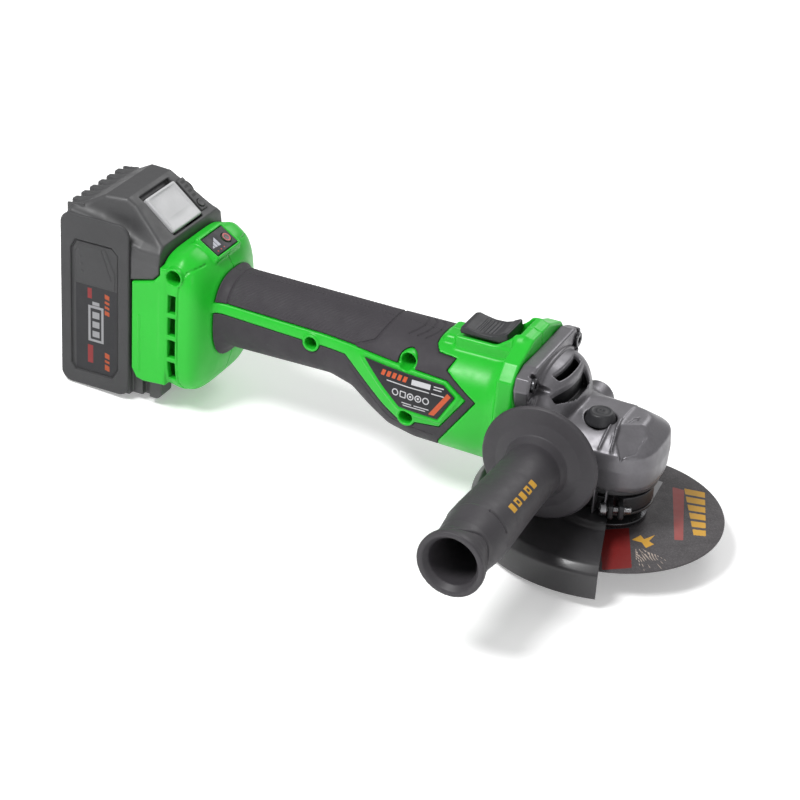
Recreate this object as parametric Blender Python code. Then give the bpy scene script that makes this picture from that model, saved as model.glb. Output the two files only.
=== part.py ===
"""Cordless angle grinder with a 125 mm cutting disc, modelled piece by piece.

The frame's origin is the centre of the spindle's end face. +Z runs up the spindle axis,
+X points from the battery to the gear head, and the side handle stands out along -Y.
Sizes are in millimetres and are turned into metres when a mesh is made.
"""
import math

import bmesh
import bpy
from mathutils import Euler, Vector

MM = 0.001
GAP = 0.3

# Heights of the three long axes
MOTOR_Z = 56.5
HANDLE_X = -26.4
HANDLE_Z = 52.4

# Disc, flange and nut on the M14 spindle
DISC_R = 62.5
DISC_BORE_R = 11.1
DISC_BOTTOM = 6.5
DISC_TOP = 7.5
THREAD_R = 7.0

# Bevel gears: both cones share one apex, where the motor axis meets the spindle axis
RING_TEETH = 28
PINION_TEETH = 10
RING_HEEL_R = 20.0
RING_TOE_R = 14.6

# Spindle lock
LOCK_XY = (-7.8, -9.2)
LOCK_HOLES = 4

# Guard
GUARD_R = 76.0
GUARD_START = math.radians(106.0)
GUARD_SWEEP = math.radians(180.0)

# Housing
SPLIT = 0.15
RUBBER = 1.8
WALL = 2.2
LABEL = 0.5

# Battery pack
PACK_BACK = -325.9
PACK_BOTTOM = 13.3
PACK_HALF_WIDTH = 37.0
CELL_R = 9.2
CELL_HALF_LENGTH = 32.5
BUTTON_MIDDLE = (-275.0, 0.0, 119.6)
BUTTON_SLOPE = math.radians(39.3)

# Housing screws: X, Z and the depth of the housing side there
HOUSING_SCREWS = [
    (-253.4, 95.8, 36.0),
    (-174.3, 71.3, 21.5),
    (-114.4, 78.1, 26.0),
    (-111.0, 47.6, 31.0),
]

# Green outer shape of the housing: X, top Z, bottom Z, half width, roundness power
HOUSING_SECTIONS = [
    (-262.0, 105.5, 24.0, 36.4, 5.0),
    (-251.0, 108.5, 21.0, 36.5, 5.0),
    (-243.0, 104.0, 22.0, 36.0, 4.4),
    (-238.5, 99.0, 27.0, 32.0, 3.6),
    (-235.5, 93.0, 40.0, 24.0, 2.6),
    (-231.0, 91.7, 47.2, 22.0, 2.2),
    (-166.0, 91.5, 47.4, 21.8, 2.1),
    (-151.0, 91.0, 43.5, 23.7, 2.1),
    (-138.0, 90.3, 34.5, 27.0, 2.15),
    (-126.0, 89.6, 28.0, 30.0, 2.2),
    (-110.0, 88.8, 25.6, 32.0, 2.3),
    (-66.0, 88.5, 25.0, 32.5, 2.4),
    (-48.8, 90.5, 22.0, 36.0, 3.2),
]

# Side outlines (X, Z) of the green left showing through the rubber
BAND_OUTLINE = [
    (-240.0, 79.8), (-118.0, 75.8), (-89.5, 74.3), (-77.0, 67.2), (-91.0, 47.5),
    (-117.3, 44.3), (-152.8, 71.0), (-181.0, 71.6), (-240.0, 74.4),
]
FRONT_OUTLINE = [
    (-104.0, 112.0), (-104.0, 84.2), (-88.5, 84.2), (-91.0, 79.0), (-71.0, 67.5),
    (-93.0, 36.0), (-99.0, 20.0), (-99.0, 5.0), (-30.0, 5.0), (-30.0, 112.0),
]
LABEL_OUTLINE = [(-140.0, 74.0), (-90.4, 72.7), (-82.7, 67.8), (-91.7, 52.5), (-115.0, 53.4)]


# ---------------------------------------------------------------- materials and objects

def make_material(name, colour, roughness, metallic=0.0):
    material = bpy.data.materials.new(name)
    material.use_nodes = True
    shader = material.node_tree.nodes["Principled BSDF"]
    shader.inputs["Base Color"].default_value = (*colour, 1.0)
    shader.inputs["Roughness"].default_value = roughness
    shader.inputs["Metallic"].default_value = metallic
    return material


def make_empty(name, place, parent=None):
    """An empty on a joint's axis, which the pieces of that body hang from."""
    empty = bpy.data.objects.new(name, None)
    bpy.context.collection.objects.link(empty)
    empty.location = Vector(place) * MM
    empty.parent = parent
    empty.empty_display_size = 0.01
    return empty


def make_object(name, bm, material=None, joint=None, bevel=0.0, sharp=35.0):
    """Turn a bmesh in world millimetres into an object whose origin is its joint's."""
    bmesh.ops.recalc_face_normals(bm, faces=bm.faces)
    mesh = bpy.data.meshes.new(name)
    bmesh.ops.scale(bm, vec=(MM, MM, MM), verts=bm.verts)
    if joint:
        bmesh.ops.translate(bm, vec=-joint.location, verts=bm.verts)
    bm.to_mesh(mesh)
    bm.free()
    mesh.shade_smooth()
    mesh.set_sharp_from_angle(angle=math.radians(sharp))
    if material:
        mesh.materials.append(material)
    obj = bpy.data.objects.new(name, mesh)
    bpy.context.collection.objects.link(obj)
    obj.parent = joint
    if bevel:
        modifier = obj.modifiers.new("edges", "BEVEL")
        modifier.width = bevel * MM
        modifier.segments = 1
        modifier.limit_method = "ANGLE"
        modifier.angle_limit = math.radians(40)
    return obj


def boolean(obj, other, operation):
    """Cut another shape from an object, or join it on, and hide the other shape."""
    modifier = obj.modifiers.new(operation.lower(), "BOOLEAN")
    modifier.operation = operation
    modifier.object = other
    modifier.solver = "EXACT"
    other.hide_render = True
    other.display_type = "WIRE"


def cut(obj, *cutters):
    for cutter in cutters:
        boolean(obj, cutter, "DIFFERENCE")


def join(obj, *others):
    for other in others:
        boolean(obj, other, "UNION")


# ---------------------------------------------------------------- shapes

def skin(bm, loops, close=False):
    """Bridge a row of vertex loops with quads, or with a fan where a loop is one vertex."""
    pairs = list(zip(loops, loops[1:]))
    if close:
        pairs.append((loops[-1], loops[0]))
    for first, second in pairs:
        count = max(len(first), len(second))
        for i in range(count):
            j = (i + 1) % count
            corners = [first[i % len(first)], first[j % len(first)],
                       second[j % len(second)], second[i % len(second)]]
            unique = list(dict.fromkeys(corners))
            if len(unique) > 2:
                bm.faces.new(unique)


def on_axis(axis, along, radius, angle):
    """A point at a distance along an axis, a radius and an angle about it."""
    u = radius * math.cos(angle)
    v = radius * math.sin(angle)
    if axis == "x":
        return Vector((along, u, v))
    if axis == "y":
        return Vector((u, along, v))
    return Vector((u, v, along))


def turned(bm, axis, centre, profile, segments=32, start=0.0, sweep=math.tau):
    """Revolve (radius, along) points about an axis through centre."""
    full = abs(sweep - math.tau) < 1e-6
    steps = segments if full else segments + 1
    loops = []
    for radius, along in profile:
        angles = [start + sweep * i / segments for i in range(steps)]
        if radius == 0.0:
            angles = [0.0]
        loops.append([bm.verts.new(on_axis(axis, along, radius, a) + Vector(centre))
                      for a in angles])
    hollow = profile[0][0] > 0.0
    if full:
        skin(bm, loops, close=hollow)
        return
    for first, second in zip(loops, loops[1:] + loops[:1]):
        for i in range(segments):
            bm.faces.new([first[i], first[i + 1], second[i + 1], second[i]])
    bm.faces.new([loop[0] for loop in loops])
    bm.faces.new([loop[-1] for loop in loops])


def ring_profile(inner, outer, low, high, edge=0.0):
    """Profile of a plain ring, with its outer edges chamfered."""
    if not edge:
        return [(inner, low), (outer, low), (outer, high), (inner, high)]
    return [(inner, low), (outer - edge, low), (outer, low + edge), (outer, high - edge),
            (outer - edge, high), (inner, high)]


def rod_profile(radius, low, high, edge=0.0):
    """Profile of a plain rod, with its outer edges chamfered."""
    if not edge:
        return [(0.0, low), (radius, low), (radius, high), (0.0, high)]
    return [(0.0, low), (radius - edge, low), (radius, low + edge), (radius, high - edge),
            (radius - edge, high), (0.0, high)]


def prism(bm, axis, outline, low, high):
    """Extrude a flat outline along an axis. Outlines are (y, z), (x, z) or (x, y) points."""
    def place(point, along):
        first, second = point
        return {"x": (along, first, second), "y": (first, along, second),
                "z": (first, second, along)}[axis]
    loops = [[bm.verts.new(place(p, along)) for p in outline] for along in (low, high)]
    skin(bm, loops)
    bm.faces.new(loops[0])
    bm.faces.new(loops[1])


def box(bm, low, high):
    outline = [(low[0], low[1]), (high[0], low[1]), (high[0], high[1]), (low[0], high[1])]
    prism(bm, "z", outline, low[2], high[2])


def rounded_outline(low, high, radius, steps=3):
    """A rectangle with round corners."""
    centres = [(high[0] - radius, high[1] - radius), (low[0] + radius, high[1] - radius),
               (low[0] + radius, low[1] + radius), (high[0] - radius, low[1] + radius)]
    points = []
    for quarter, (cx, cy) in enumerate(centres):
        for i in range(steps + 1):
            angle = math.pi / 2 * (quarter + i / steps)
            points.append((cx + radius * math.cos(angle), cy + radius * math.sin(angle)))
    return points


def half_section(bm, station, side, inset, steps):
    """Half a rounded cross-section, from the top centre round one side to the bottom."""
    x, top, bottom, half_width, power = station
    middle = (top + bottom) / 2
    half_height = (top - bottom) / 2 - inset
    points = []
    for i in range(steps + 1):
        angle = math.pi / 2 - math.pi * i / steps
        across = max(math.cos(angle), 0.0) ** (2 / power)
        up = math.copysign(abs(math.sin(angle)) ** (2 / power), math.sin(angle))
        y = side * (SPLIT + (half_width - inset - SPLIT) * across)
        points.append(bm.verts.new((x, y, middle + half_height * up)))
    return points


def half_shell(bm, stations, side, outer_inset, inner_inset, steps=8):
    """One half of a hollow body lofted along X, with its open edge on the split plane."""
    loops = []
    for station in stations:
        outer = half_section(bm, station, side, outer_inset, steps)
        inner = half_section(bm, station, side, inner_inset, steps)
        loops.append(outer + inner[::-1])
    skin(bm, loops)
    for loop in (loops[0], loops[-1]):
        for i in range(steps):
            bm.faces.new([loop[i], loop[i + 1], loop[-2 - i], loop[-1 - i]])


def housing_half_width(x, z, inset):
    """Half width of the housing's outline, moved in by an inset, at one place."""
    pairs = zip(HOUSING_SECTIONS, HOUSING_SECTIONS[1:])
    before, after = next(pair for pair in pairs if pair[0][0] <= x <= pair[1][0])
    share = (x - before[0]) / (after[0] - before[0])
    top, bottom, half_width, power = (a + (b - a) * share
                                      for a, b in zip(before[1:], after[1:]))
    up = abs(z - (top + bottom) / 2) / ((top - bottom) / 2 - inset)
    return (half_width - inset) * (1 - min(up, 1.0) ** power) ** (1 / power)


def full_section(bm, station, steps):
    x, top, bottom, half_width, power = station
    middle = (top + bottom) / 2
    half_height = (top - bottom) / 2
    points = []
    for i in range(steps):
        angle = math.tau * i / steps
        c = math.cos(angle)
        s = math.sin(angle)
        y = math.copysign(half_width * abs(c) ** (2 / power), c)
        z = middle + math.copysign(half_height * abs(s) ** (2 / power), s)
        points.append(bm.verts.new((x, y, z)))
    return points


def full_loft(bm, stations, steps=24):
    loops = [full_section(bm, station, steps) for station in stations]
    skin(bm, loops)
    bm.faces.new(loops[0])
    bm.faces.new(loops[-1])


def bevel_gear(bm, axis, teeth, mate_teeth, heel, toe, phase, body):
    """A straight bevel gear whose teeth all point at the apex, (0, 0, MOTOR_Z).

    heel and toe are the pitch radii at the teeth's two ends. body lists the (radius,
    distance behind the apex) points of the blank, from the heel round to the toe.
    """
    apex = Vector((0.0, 0.0, MOTOR_Z))
    slope = mate_teeth / teeth
    length = math.hypot(1.0, slope)
    normal_radial = slope / length
    normal_along = 1.0 / length
    module = 2 * heel / teeth
    pitch = math.tau / teeth
    shape = [(-0.34, -1.15), (-0.13, 0.85), (0.13, 0.85), (0.34, -1.15)]

    def place(radius, behind, angle):
        return on_axis(axis, -behind, radius, angle) + apex

    def tooth_loop(radius):
        scale = radius / heel
        loop = []
        for tooth in range(teeth):
            for turn, height in shape:
                angle = phase + pitch * (tooth + turn)
                rise = height * module * scale
                loop.append(bm.verts.new(place(radius + rise * normal_radial,
                                               radius * slope - rise * normal_along, angle)))
        return loop

    def plain_loop(radius, behind):
        loop = []
        for tooth in range(teeth):
            for turn, _ in shape:
                loop.append(bm.verts.new(place(radius, behind, phase + pitch * (tooth + turn))))
        return loop

    loops = [tooth_loop(toe), tooth_loop(heel)]
    loops += [plain_loop(radius, behind) for radius, behind in body]
    skin(bm, loops, close=True)


def helix_tube(bm, centre, radius, wire, low, high, turns):
    """A coil spring of round wire, closed at both ends."""
    steps = 11 * turns
    sides = 4
    rise = (high - low - 2 * wire) / steps
    loops = []
    for i in range(steps + 1):
        angle = math.tau * turns * i / steps
        middle = Vector((centre[0] + radius * math.cos(angle),
                         centre[1] + radius * math.sin(angle), low + wire + rise * i))
        outward = Vector((math.cos(angle), math.sin(angle), 0.0))
        loop = []
        for k in range(sides):
            turn = math.tau * k / sides
            offset = outward * (wire * math.cos(turn)) + Vector((0, 0, wire * math.sin(turn)))
            loop.append(bm.verts.new(middle + offset))
        loops.append(loop)
    skin(bm, loops)
    bm.faces.new(loops[0])
    bm.faces.new(loops[-1])


def shape(function, *arguments, **options):
    """Run one shape function on a new bmesh and return it."""
    bm = bmesh.new()
    function(bm, *arguments, **options)
    return bm


def guide(name, function, *arguments, **options):
    """A shape that only cuts or is joined to another piece."""
    return make_object(name, shape(function, *arguments, **options))


# ---------------------------------------------------------------- housing

def screw_bosses(bm, side):
    """Tubes that carry the housing screws from each side wall to the split plane."""
    radius = 5.6 if side < 0 else 4.4
    for x, z, depth in HOUSING_SCREWS:
        reach = depth - 1.0
        if side > 0:
            reach = min(housing_half_width(x, z + rise, RUBBER + 0.5)
                        for rise in (-radius, radius))
        turned(bm, "y", (x, 0, z), rod_profile(radius, side * SPLIT, side * reach), 10)


def screw_holes(bm, side):
    """Deep head holes on the left, pilot holes on the right."""
    for x, z, depth in HOUSING_SCREWS:
        if side < 0:
            turned(bm, "y", (x, 0, z), [(0.0, -depth - 8), (4.4, -depth - 8), (4.4, -6.0),
                                        (1.9, -6.0), (1.9, 2.0), (0.0, 2.0)], 10)
        else:
            turned(bm, "y", (x, 0, z), rod_profile(1.8, -2.0, 12.0), 8)
    for y, z in case_screw_places():
        if y * side > 0:
            turned(bm, "x", (0, y, z), rod_profile(2.4, -56.3, -40.0), 8)


def vent_slots(bm, side):
    """Four cooling-air inlets in the side of the dock, one above another."""
    for index in range(4):
        top = 84.9 - 13.9 * index
        low, high = sorted((side * 30.0, side * 40.0))
        box(bm, (-256.6, low, top - 11.2), (-251.6, high, top))


def make_housing(side, name, green):
    shell = make_object(name, shape(half_shell, HOUSING_SECTIONS, side, RUBBER, RUBBER + WALL),
                        green)
    body = guide(name + "_outer", half_shell, HOUSING_SECTIONS, side, 0.0, RUBBER + 0.6)
    shown = guide(name + "_band", prism, "y", BAND_OUTLINE, side * 1.0, side * 60.0)
    rear = [(-290.0, 5.0), (-235.2, 5.0), (-235.2, 120.0), (-290.0, 120.0)]
    join(shown, guide(name + "_rear", prism, "y", rear, side * -1.0, side * 61.0),
         guide(name + "_front", prism, "y", FRONT_OUTLINE, side * -1.0, side * 61.0))
    boolean(body, shown, "INTERSECT")
    join(shell, body)

    cheek = [(-279.7, 33.0), (-276.6, 27.6), (-272.0, 26.4), (-258.0, 27.4), (-258.0, 100.0),
             (-261.9, 100.0), (-261.9, 95.5), (-266.0, 91.0), (-279.7, 87.3)]
    parts = bmesh.new()
    low, high = sorted((side * 31.2, side * 36.3))
    prism(parts, "y", cheek, low, high)
    join(shell, make_object(name + "_cheek", parts))
    low, high = sorted((side * SPLIT, side * 34.0))
    join(shell, guide(name + "_wall", box, (-261.9, low, 25.0), (-259.5, high, 101.5)))
    low, high = sorted((side * 27.9, side * 32.0))
    join(shell, guide(name + "_rail", box, (-275.0, low, 31.0), (-271.4, high, 84.0)))
    low, high = sorted((side * SPLIT, side * 13.6))
    join(shell, guide(name + "_platform", box, (-100.0, low, 85.4), (-54.0, high, 94.6)))
    flange = [(side * SPLIT, 103.0), (side * 11.0, 103.0), (side * 30.0, 96.0),
              (side * 37.0, 88.0), (side * 38.0, 56.5), (side * 37.0, 29.0),
              (side * 31.0, 21.5), (side * SPLIT, 20.5)]
    rim = guide(name + "_flange", prism, "x", flange, -57.0, -48.3)
    inner = [(side * -2.0, 86.0), (side * 12.0, 86.0), (side * 24.0, 82.0),
             (side * 31.0, 70.0), (side * 31.0, 43.0), (side * 24.0, 31.0),
             (side * 12.0, 27.0), (side * -2.0, 27.0)]
    cut(rim, guide(name + "_flange_bore", prism, "x", inner, -60.0, -40.0))
    join(shell, rim)
    join(shell, make_object(name + "_bosses", shape(screw_bosses, side)))
    cut(shell, make_object(name + "_holes", shape(screw_holes, side)))
    cut(shell, make_object(name + "_vents", shape(vent_slots, side)))
    cut(shell, guide(name + "_slot", box, (-82.5, -3.0, 78.0), (-65.5, 3.0, 99.0)))
    return shell


def make_rubber(side, name, rubber):
    stations = [s for s in HOUSING_SECTIONS if -232.0 < s[0] < -60.0]
    grip = make_object(name, shape(half_shell, stations, side, 0.0, RUBBER - GAP), rubber)
    cut(grip, guide(name + "_band_window", prism, "y", grown(BAND_OUTLINE, GAP), side * 0.5,
                    side * 60.0),
        guide(name + "_front_window", prism, "y", grown(FRONT_OUTLINE, GAP), -60.0, 60.0))
    holes = bmesh.new()
    for x, z, depth in HOUSING_SCREWS[1:]:
        if side < 0:
            turned(holes, "y", (x, 0, z), rod_profile(6.0, -60.0, -depth + 12.0), 12)
    if side < 0:
        cut(grip, make_object(name + "_screw_holes", holes))
    else:
        holes.free()
    return grip


def grown(outline, margin):
    """The same outline with each edge moved outwards by a margin."""
    count = len(outline)
    area = sum(outline[i - 1][0] * outline[i][1] - outline[i][0] * outline[i - 1][1]
               for i in range(count))
    turn = 1.0 if area > 0 else -1.0
    result = []
    for i in range(count):
        here = Vector(outline[i])
        before = (here - Vector(outline[i - 1])).normalized()
        after = (Vector(outline[(i + 1) % count]) - here).normalized()
        normal_before = Vector((before.y, -before.x)) * turn
        normal_after = Vector((after.y, -after.x)) * turn
        middle = (normal_before + normal_after).normalized()
        moved = here + middle * (margin / max(middle.dot(normal_before), 0.3))
        result.append((moved.x, moved.y))
    return result


def make_label(side, name, material):
    """A thin plate that follows the housing's side, just proud of the rubber."""
    plate = make_object(name, shape(half_shell, HOUSING_SECTIONS, side, -GAP - LABEL, -GAP),
                        material)
    boolean(plate, guide(name + "_outline", prism, "y", LABEL_OUTLINE, side * 10.0, side * 60.0),
            "INTERSECT")
    return plate


# ---------------------------------------------------------------- motor and controls

def make_motor(steel, copper, dark, cast, magnet, rotor):
    centre = (0.0, 0.0, MOTOR_Z)
    stator = [(15.6, -95.0), (21.0, -97.0), (24.0, -95.0), (25.0, -91.0), (25.0, -75.0),
              (24.0, -70.0), (21.0, -68.0), (15.6, -70.0)]
    make_object("motor_stator", shape(turned, "x", centre, stator, 24), copper)
    baffle = [(18.0, -66.5), (27.4, -66.5), (27.4, -64.5), (18.0, -64.5)]
    make_object("fan_baffle", shape(turned, "x", centre, baffle, 24), dark)
    make_bearing("rear_bearing", "x", centre, 4.1, 9.5, -104.8, -99.0, steel)
    make_bearing("front_bearing", "x", centre, 4.1, 11.0, -46.5, -40.0, steel)

    plate = make_object("bearing_plate", shape(turned, "x", centre, [
        (5.2, -48.0), (26.0, -48.0), (26.0, -45.0), (13.5, -45.0), (13.5, -36.0),
        (5.2, -36.0)], 24), cast)
    cut(plate, guide("front_bearing_seat", turned, "x", centre,
                     rod_profile(11.3, -46.8, -39.7), 16))
    cut(plate, guide("front_bearing_mouth", turned, "x", centre,
                     rod_profile(11.3, -52.0, -46.0), 16))

    shaft = [(0.0, -105.1), (3.8, -105.1), (3.8, -21.4), (0.0, -21.4)]
    make_object("rotor_shaft", shape(turned, "x", centre, shaft, 16), steel, rotor)
    core = ring_profile(4.1, 15.0, -94.0, -72.0, 0.8)
    make_object("rotor_core", shape(turned, "x", centre, core, 20), magnet, rotor)

    hub = make_object("cooling_fan", shape(turned, "x", centre, [
        (4.1, -63.0), (8.0, -63.0), (8.0, -61.0), (26.0, -61.0), (26.0, -60.0), (8.0, -60.0),
        (8.0, -52.0), (4.1, -52.0)], 18), dark, rotor)
    join(hub, make_object("fan_blades", shape(fan_blades, 9)))

    slope = RING_TEETH / PINION_TEETH
    heel = RING_HEEL_R * PINION_TEETH / RING_TEETH
    toe = RING_TOE_R * PINION_TEETH / RING_TEETH
    blank = [(heel * 0.9, heel * slope + 1.0), (1.5, heel * slope + 1.0),
             (1.5, toe * slope + 0.2), (toe * 0.72, toe * slope + 0.2)]
    make_object("drive_pinion", shape(bevel_gear, "x", PINION_TEETH, RING_TEETH, heel, toe,
                                      -math.pi / 2, blank), steel, rotor, sharp=25)


def fan_blades(bm, count):
    """Swept blades standing on the front of the fan's disc."""
    for index in range(count):
        angle = math.tau * index / count
        lean = angle + 0.35
        inner = Vector((math.cos(angle), math.sin(angle))) * 7.5
        outer = Vector((math.cos(lean), math.sin(lean))) * 25.6
        across = Vector((-math.sin(lean), math.cos(lean))) * 0.6
        outline = [inner - across, outer - across, outer + across, inner + across]
        prism(bm, "x", [(p.x, p.y + MOTOR_Z) for p in outline], -60.5, -53.0)


def make_bearing(name, axis, centre, inner, outer, low, high, steel):
    """A ball bearing as one solid, with the groove between its two races."""
    middle = (inner + outer) / 2
    half = (outer - inner) * 0.16
    profile = [(inner, low), (middle - half, low), (middle - half, low + 0.6),
               (middle + half, low + 0.6), (middle + half, low), (outer, low),
               (outer, high), (middle + half, high), (middle + half, high - 0.6),
               (middle - half, high - 0.6), (middle - half, high), (inner, high)]
    return make_object(name, shape(turned, axis, centre, profile, 14), steel)


def make_controls(dark, board, light, switch, speed):
    knob = [(-91.0, 95.0), (-64.0, 95.0), (-63.4, 97.0), (-64.2, 102.4), (-67.2, 102.6),
            (-69.0, 99.4), (-77.0, 98.2), (-85.5, 99.6), (-89.4, 98.6), (-91.4, 96.4)]
    make_object("slide_switch", shape(prism, "y", knob, -10.5, 10.5), dark, switch, bevel=0.8)
    link = make_object("switch_link", shape(box, (-100.1, -2.2, 81.9), (-73.0, 2.2, 83.7)),
                       dark, switch)
    join(link, guide("switch_link_tab", box, (-78.0, -2.2, 82.5), (-73.0, 2.2, 94.7)))
    make_object("power_switch", shape(box, (-106.8, -6.0, 72.0), (-100.4, 6.0, 83.4)), dark,
                bevel=0.5)
    make_object("control_board", shape(box, (-226.0, -13.0, 60.6), (-134.0, 13.0, 65.3)), board)
    block = make_object("terminal_block", shape(box, (-269.4, -17.0, 58.0),
                                                (-262.2, 17.0, 74.0)), dark, bevel=0.6)
    blades = bmesh.new()
    for y in (-11.0, -3.6, 3.6, 11.0):
        box(blades, (-267.6, y - 0.5, 50.0), (-263.6, y + 0.5, 59.0))
    join(block, make_object("terminal_blades", blades))

    angle = math.radians(32.4)
    panel = bmesh.new()
    along = Vector((math.cos(angle), -math.sin(angle)))
    up = Vector((math.sin(angle), math.cos(angle)))
    middle = Vector((-245.3, 105.7))
    corners = [middle + along * a + up * b
               for a, b in ((-6.4, 0.3), (6.4, 0.3), (6.4, 1.5), (-6.4, 1.5))]
    prism(panel, "y", [tuple(c) for c in corners], -11.4, 11.4)
    plate = make_object("display_panel", panel, dark)
    button_at = middle + along * 0.8
    tilt = Euler((0.0, angle, 0.0))
    hole = bmesh.new()
    turned(hole, "z", (0, 0, 0), rod_profile(3.3, -1.0, 4.0), 16)
    place_tilted(hole, tilt, (button_at.x, 6.0, button_at.y))
    cut(plate, make_object("speed_button_hole", hole))
    cap = bmesh.new()
    turned(cap, "z", (0, 0, 0), rod_profile(3.0, 1.3, 2.2, 0.2), 16)
    place_tilted(cap, tilt, (button_at.x, 6.0, button_at.y))
    make_object("speed_button", cap, light, speed)


def place_tilted(bm, tilt, place):
    bmesh.ops.rotate(bm, cent=(0, 0, 0), matrix=tilt.to_matrix(), verts=bm.verts)
    bmesh.ops.translate(bm, vec=place, verts=bm.verts)


# ---------------------------------------------------------------- gear head

def head_body(bm, steps=20):
    """The nose over the ring gear: round below, a narrow flat roof above."""
    loops = []
    rings = [(26.0, 27.2, 0.0, 34.7), (26.6, 28.0, 0.0, 45.0), (25.4, 27.2, 0.0, 56.5),
             (20.0, 15.5, -2.5, 65.5), (18.0, 13.5, -3.0, 67.0)]
    squareness = 3.0
    for along, across, shift, z in rings:
        loop = []
        for i in range(steps):
            c, s = math.cos(math.tau * i / steps), math.sin(math.tau * i / steps)
            size = (abs(c) ** squareness + abs(s) ** squareness) ** (-1 / squareness)
            loop.append(bm.verts.new((shift + along * c * size, across * s * size, z)))
        loops.append(loop)
    skin(bm, loops)
    bm.faces.new(loops[0])
    bm.faces.new(loops[-1])


def make_gear_case(cast, steel):
    outline = [(9.0, 95.5), (26.0, 95.5), (36.0, 92.0), (38.0, 85.0), (35.0, 74.0),
               (35.0, 40.0), (37.5, 29.0), (34.0, 21.5), (24.0, 20.0)]
    outline += [(-y, z) for y, z in reversed(outline)]
    case = make_object("gear_case", shape(prism, "x", outline, -48.0, -39.0), cast)
    neck = [(-41.0, 90.3, 23.0, 34.0, 2.4), (-34.0, 88.0, 26.5, 32.4, 2.4),
            (-29.0, 83.6, 34.9, 30.5, 2.4), (-25.0, 77.0, 34.9, 28.8, 2.5),
            (-21.0, 69.5, 34.9, 27.0, 2.6), (-4.0, 66.0, 34.9, 24.0, 2.8)]
    join(case, guide("case_neck", full_loft, neck), guide("case_nose", head_body))
    bosses = bmesh.new()
    turned(bosses, "y", (HANDLE_X, 0, HANDLE_Z), rod_profile(10.0, -38.0, 38.0, 0.8), 16)
    join(case, make_object("case_handle_bosses", bosses))

    duct = [(-50.0, 84.0, 29.0, 27.5, 2.0), (-42.0, 84.0, 29.0, 27.5, 2.0),
            (-33.0, 78.0, 35.5, 24.0, 2.0)]
    cut(case, guide("case_duct", full_loft, duct))
    cavity = [(0.0, 30.0), (22.0, 30.0), (22.0, 51.0), (16.0, 55.0), (9.4, 55.0),
              (9.4, 51.2), (0.0, 51.2)]
    cut(case, guide("case_cavity", turned, "z", (0, 0, 0), cavity, 24))
    tunnel = [(0.0, -36.0), (10.6, -36.0), (10.2, -23.0), (7.1, -13.8), (0.0, -13.8)]
    cut(case, guide("case_tunnel", turned, "x", (0, 0, MOTOR_Z), tunnel, 16))
    cut(case, guide("case_needle_seat", turned, "z", (0, 0, 0), rod_profile(7.6, 50.0, 58.0), 16))
    lock = (*LOCK_XY, 0.0)
    cut(case, guide("case_lock_pocket", turned, "z", lock, rod_profile(8.8, 59.3, 80.0), 18),
        guide("case_lock_bore", turned, "z", lock, rod_profile(2.4, 40.0, 60.0), 8))
    sockets = bmesh.new()
    for side in (-1, 1):
        turned(sockets, "y", (HANDLE_X, 0, HANDLE_Z), rod_profile(4.3, side * 24.0, side * 42.0), 10)
    cut(case, make_object("case_handle_sockets", sockets))
    cut(case, make_object("case_vents", shape(case_vents)))
    screws = bmesh.new()
    for y, z in case_screw_places():
        turned(screws, "x", (0, y, z), [(0.0, -60.0), (2.4, -60.0), (2.4, -41.5),
                                        (4.9, -41.5), (4.9, -20.0), (0.0, -20.0)], 9)
    cut(case, make_object("case_screw_holes", screws))
    for index, (y, z) in enumerate(case_screw_places()):
        screw = [(0.0, -56.0), (2.0, -56.0), (2.0, -41.2), (4.2, -41.2), (4.2, -38.6),
                 (3.4, -37.8), (2.2, -37.8), (2.2, -39.6), (0.0, -39.6)]
        make_object(f"gear_case_screw_{index + 1}", shape(turned, "x", (0, y, z), screw, 9), steel)


def case_screw_places():
    return [(side * 30.8, MOTOR_Z + level * 30.8) for level in (1, -1) for side in (-1, 1)]


def case_vents(bm):
    """Two curved air outlets on each upper side of the neck."""
    for side in (-1, 1):
        for x, low, high in ((-33.4, 24.0, 68.0), (-27.2, 14.0, 66.0)):
            outline = []
            for radius, turns in ((24.0, range(5)), (40.0, range(4, -1, -1))):
                for i in turns:
                    angle = math.radians(low + (high - low) * i / 4)
                    outline.append((side * radius * math.cos(angle),
                                    MOTOR_Z + radius * math.sin(angle)))
            prism(bm, "x", outline, x, x + 3.6)


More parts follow.
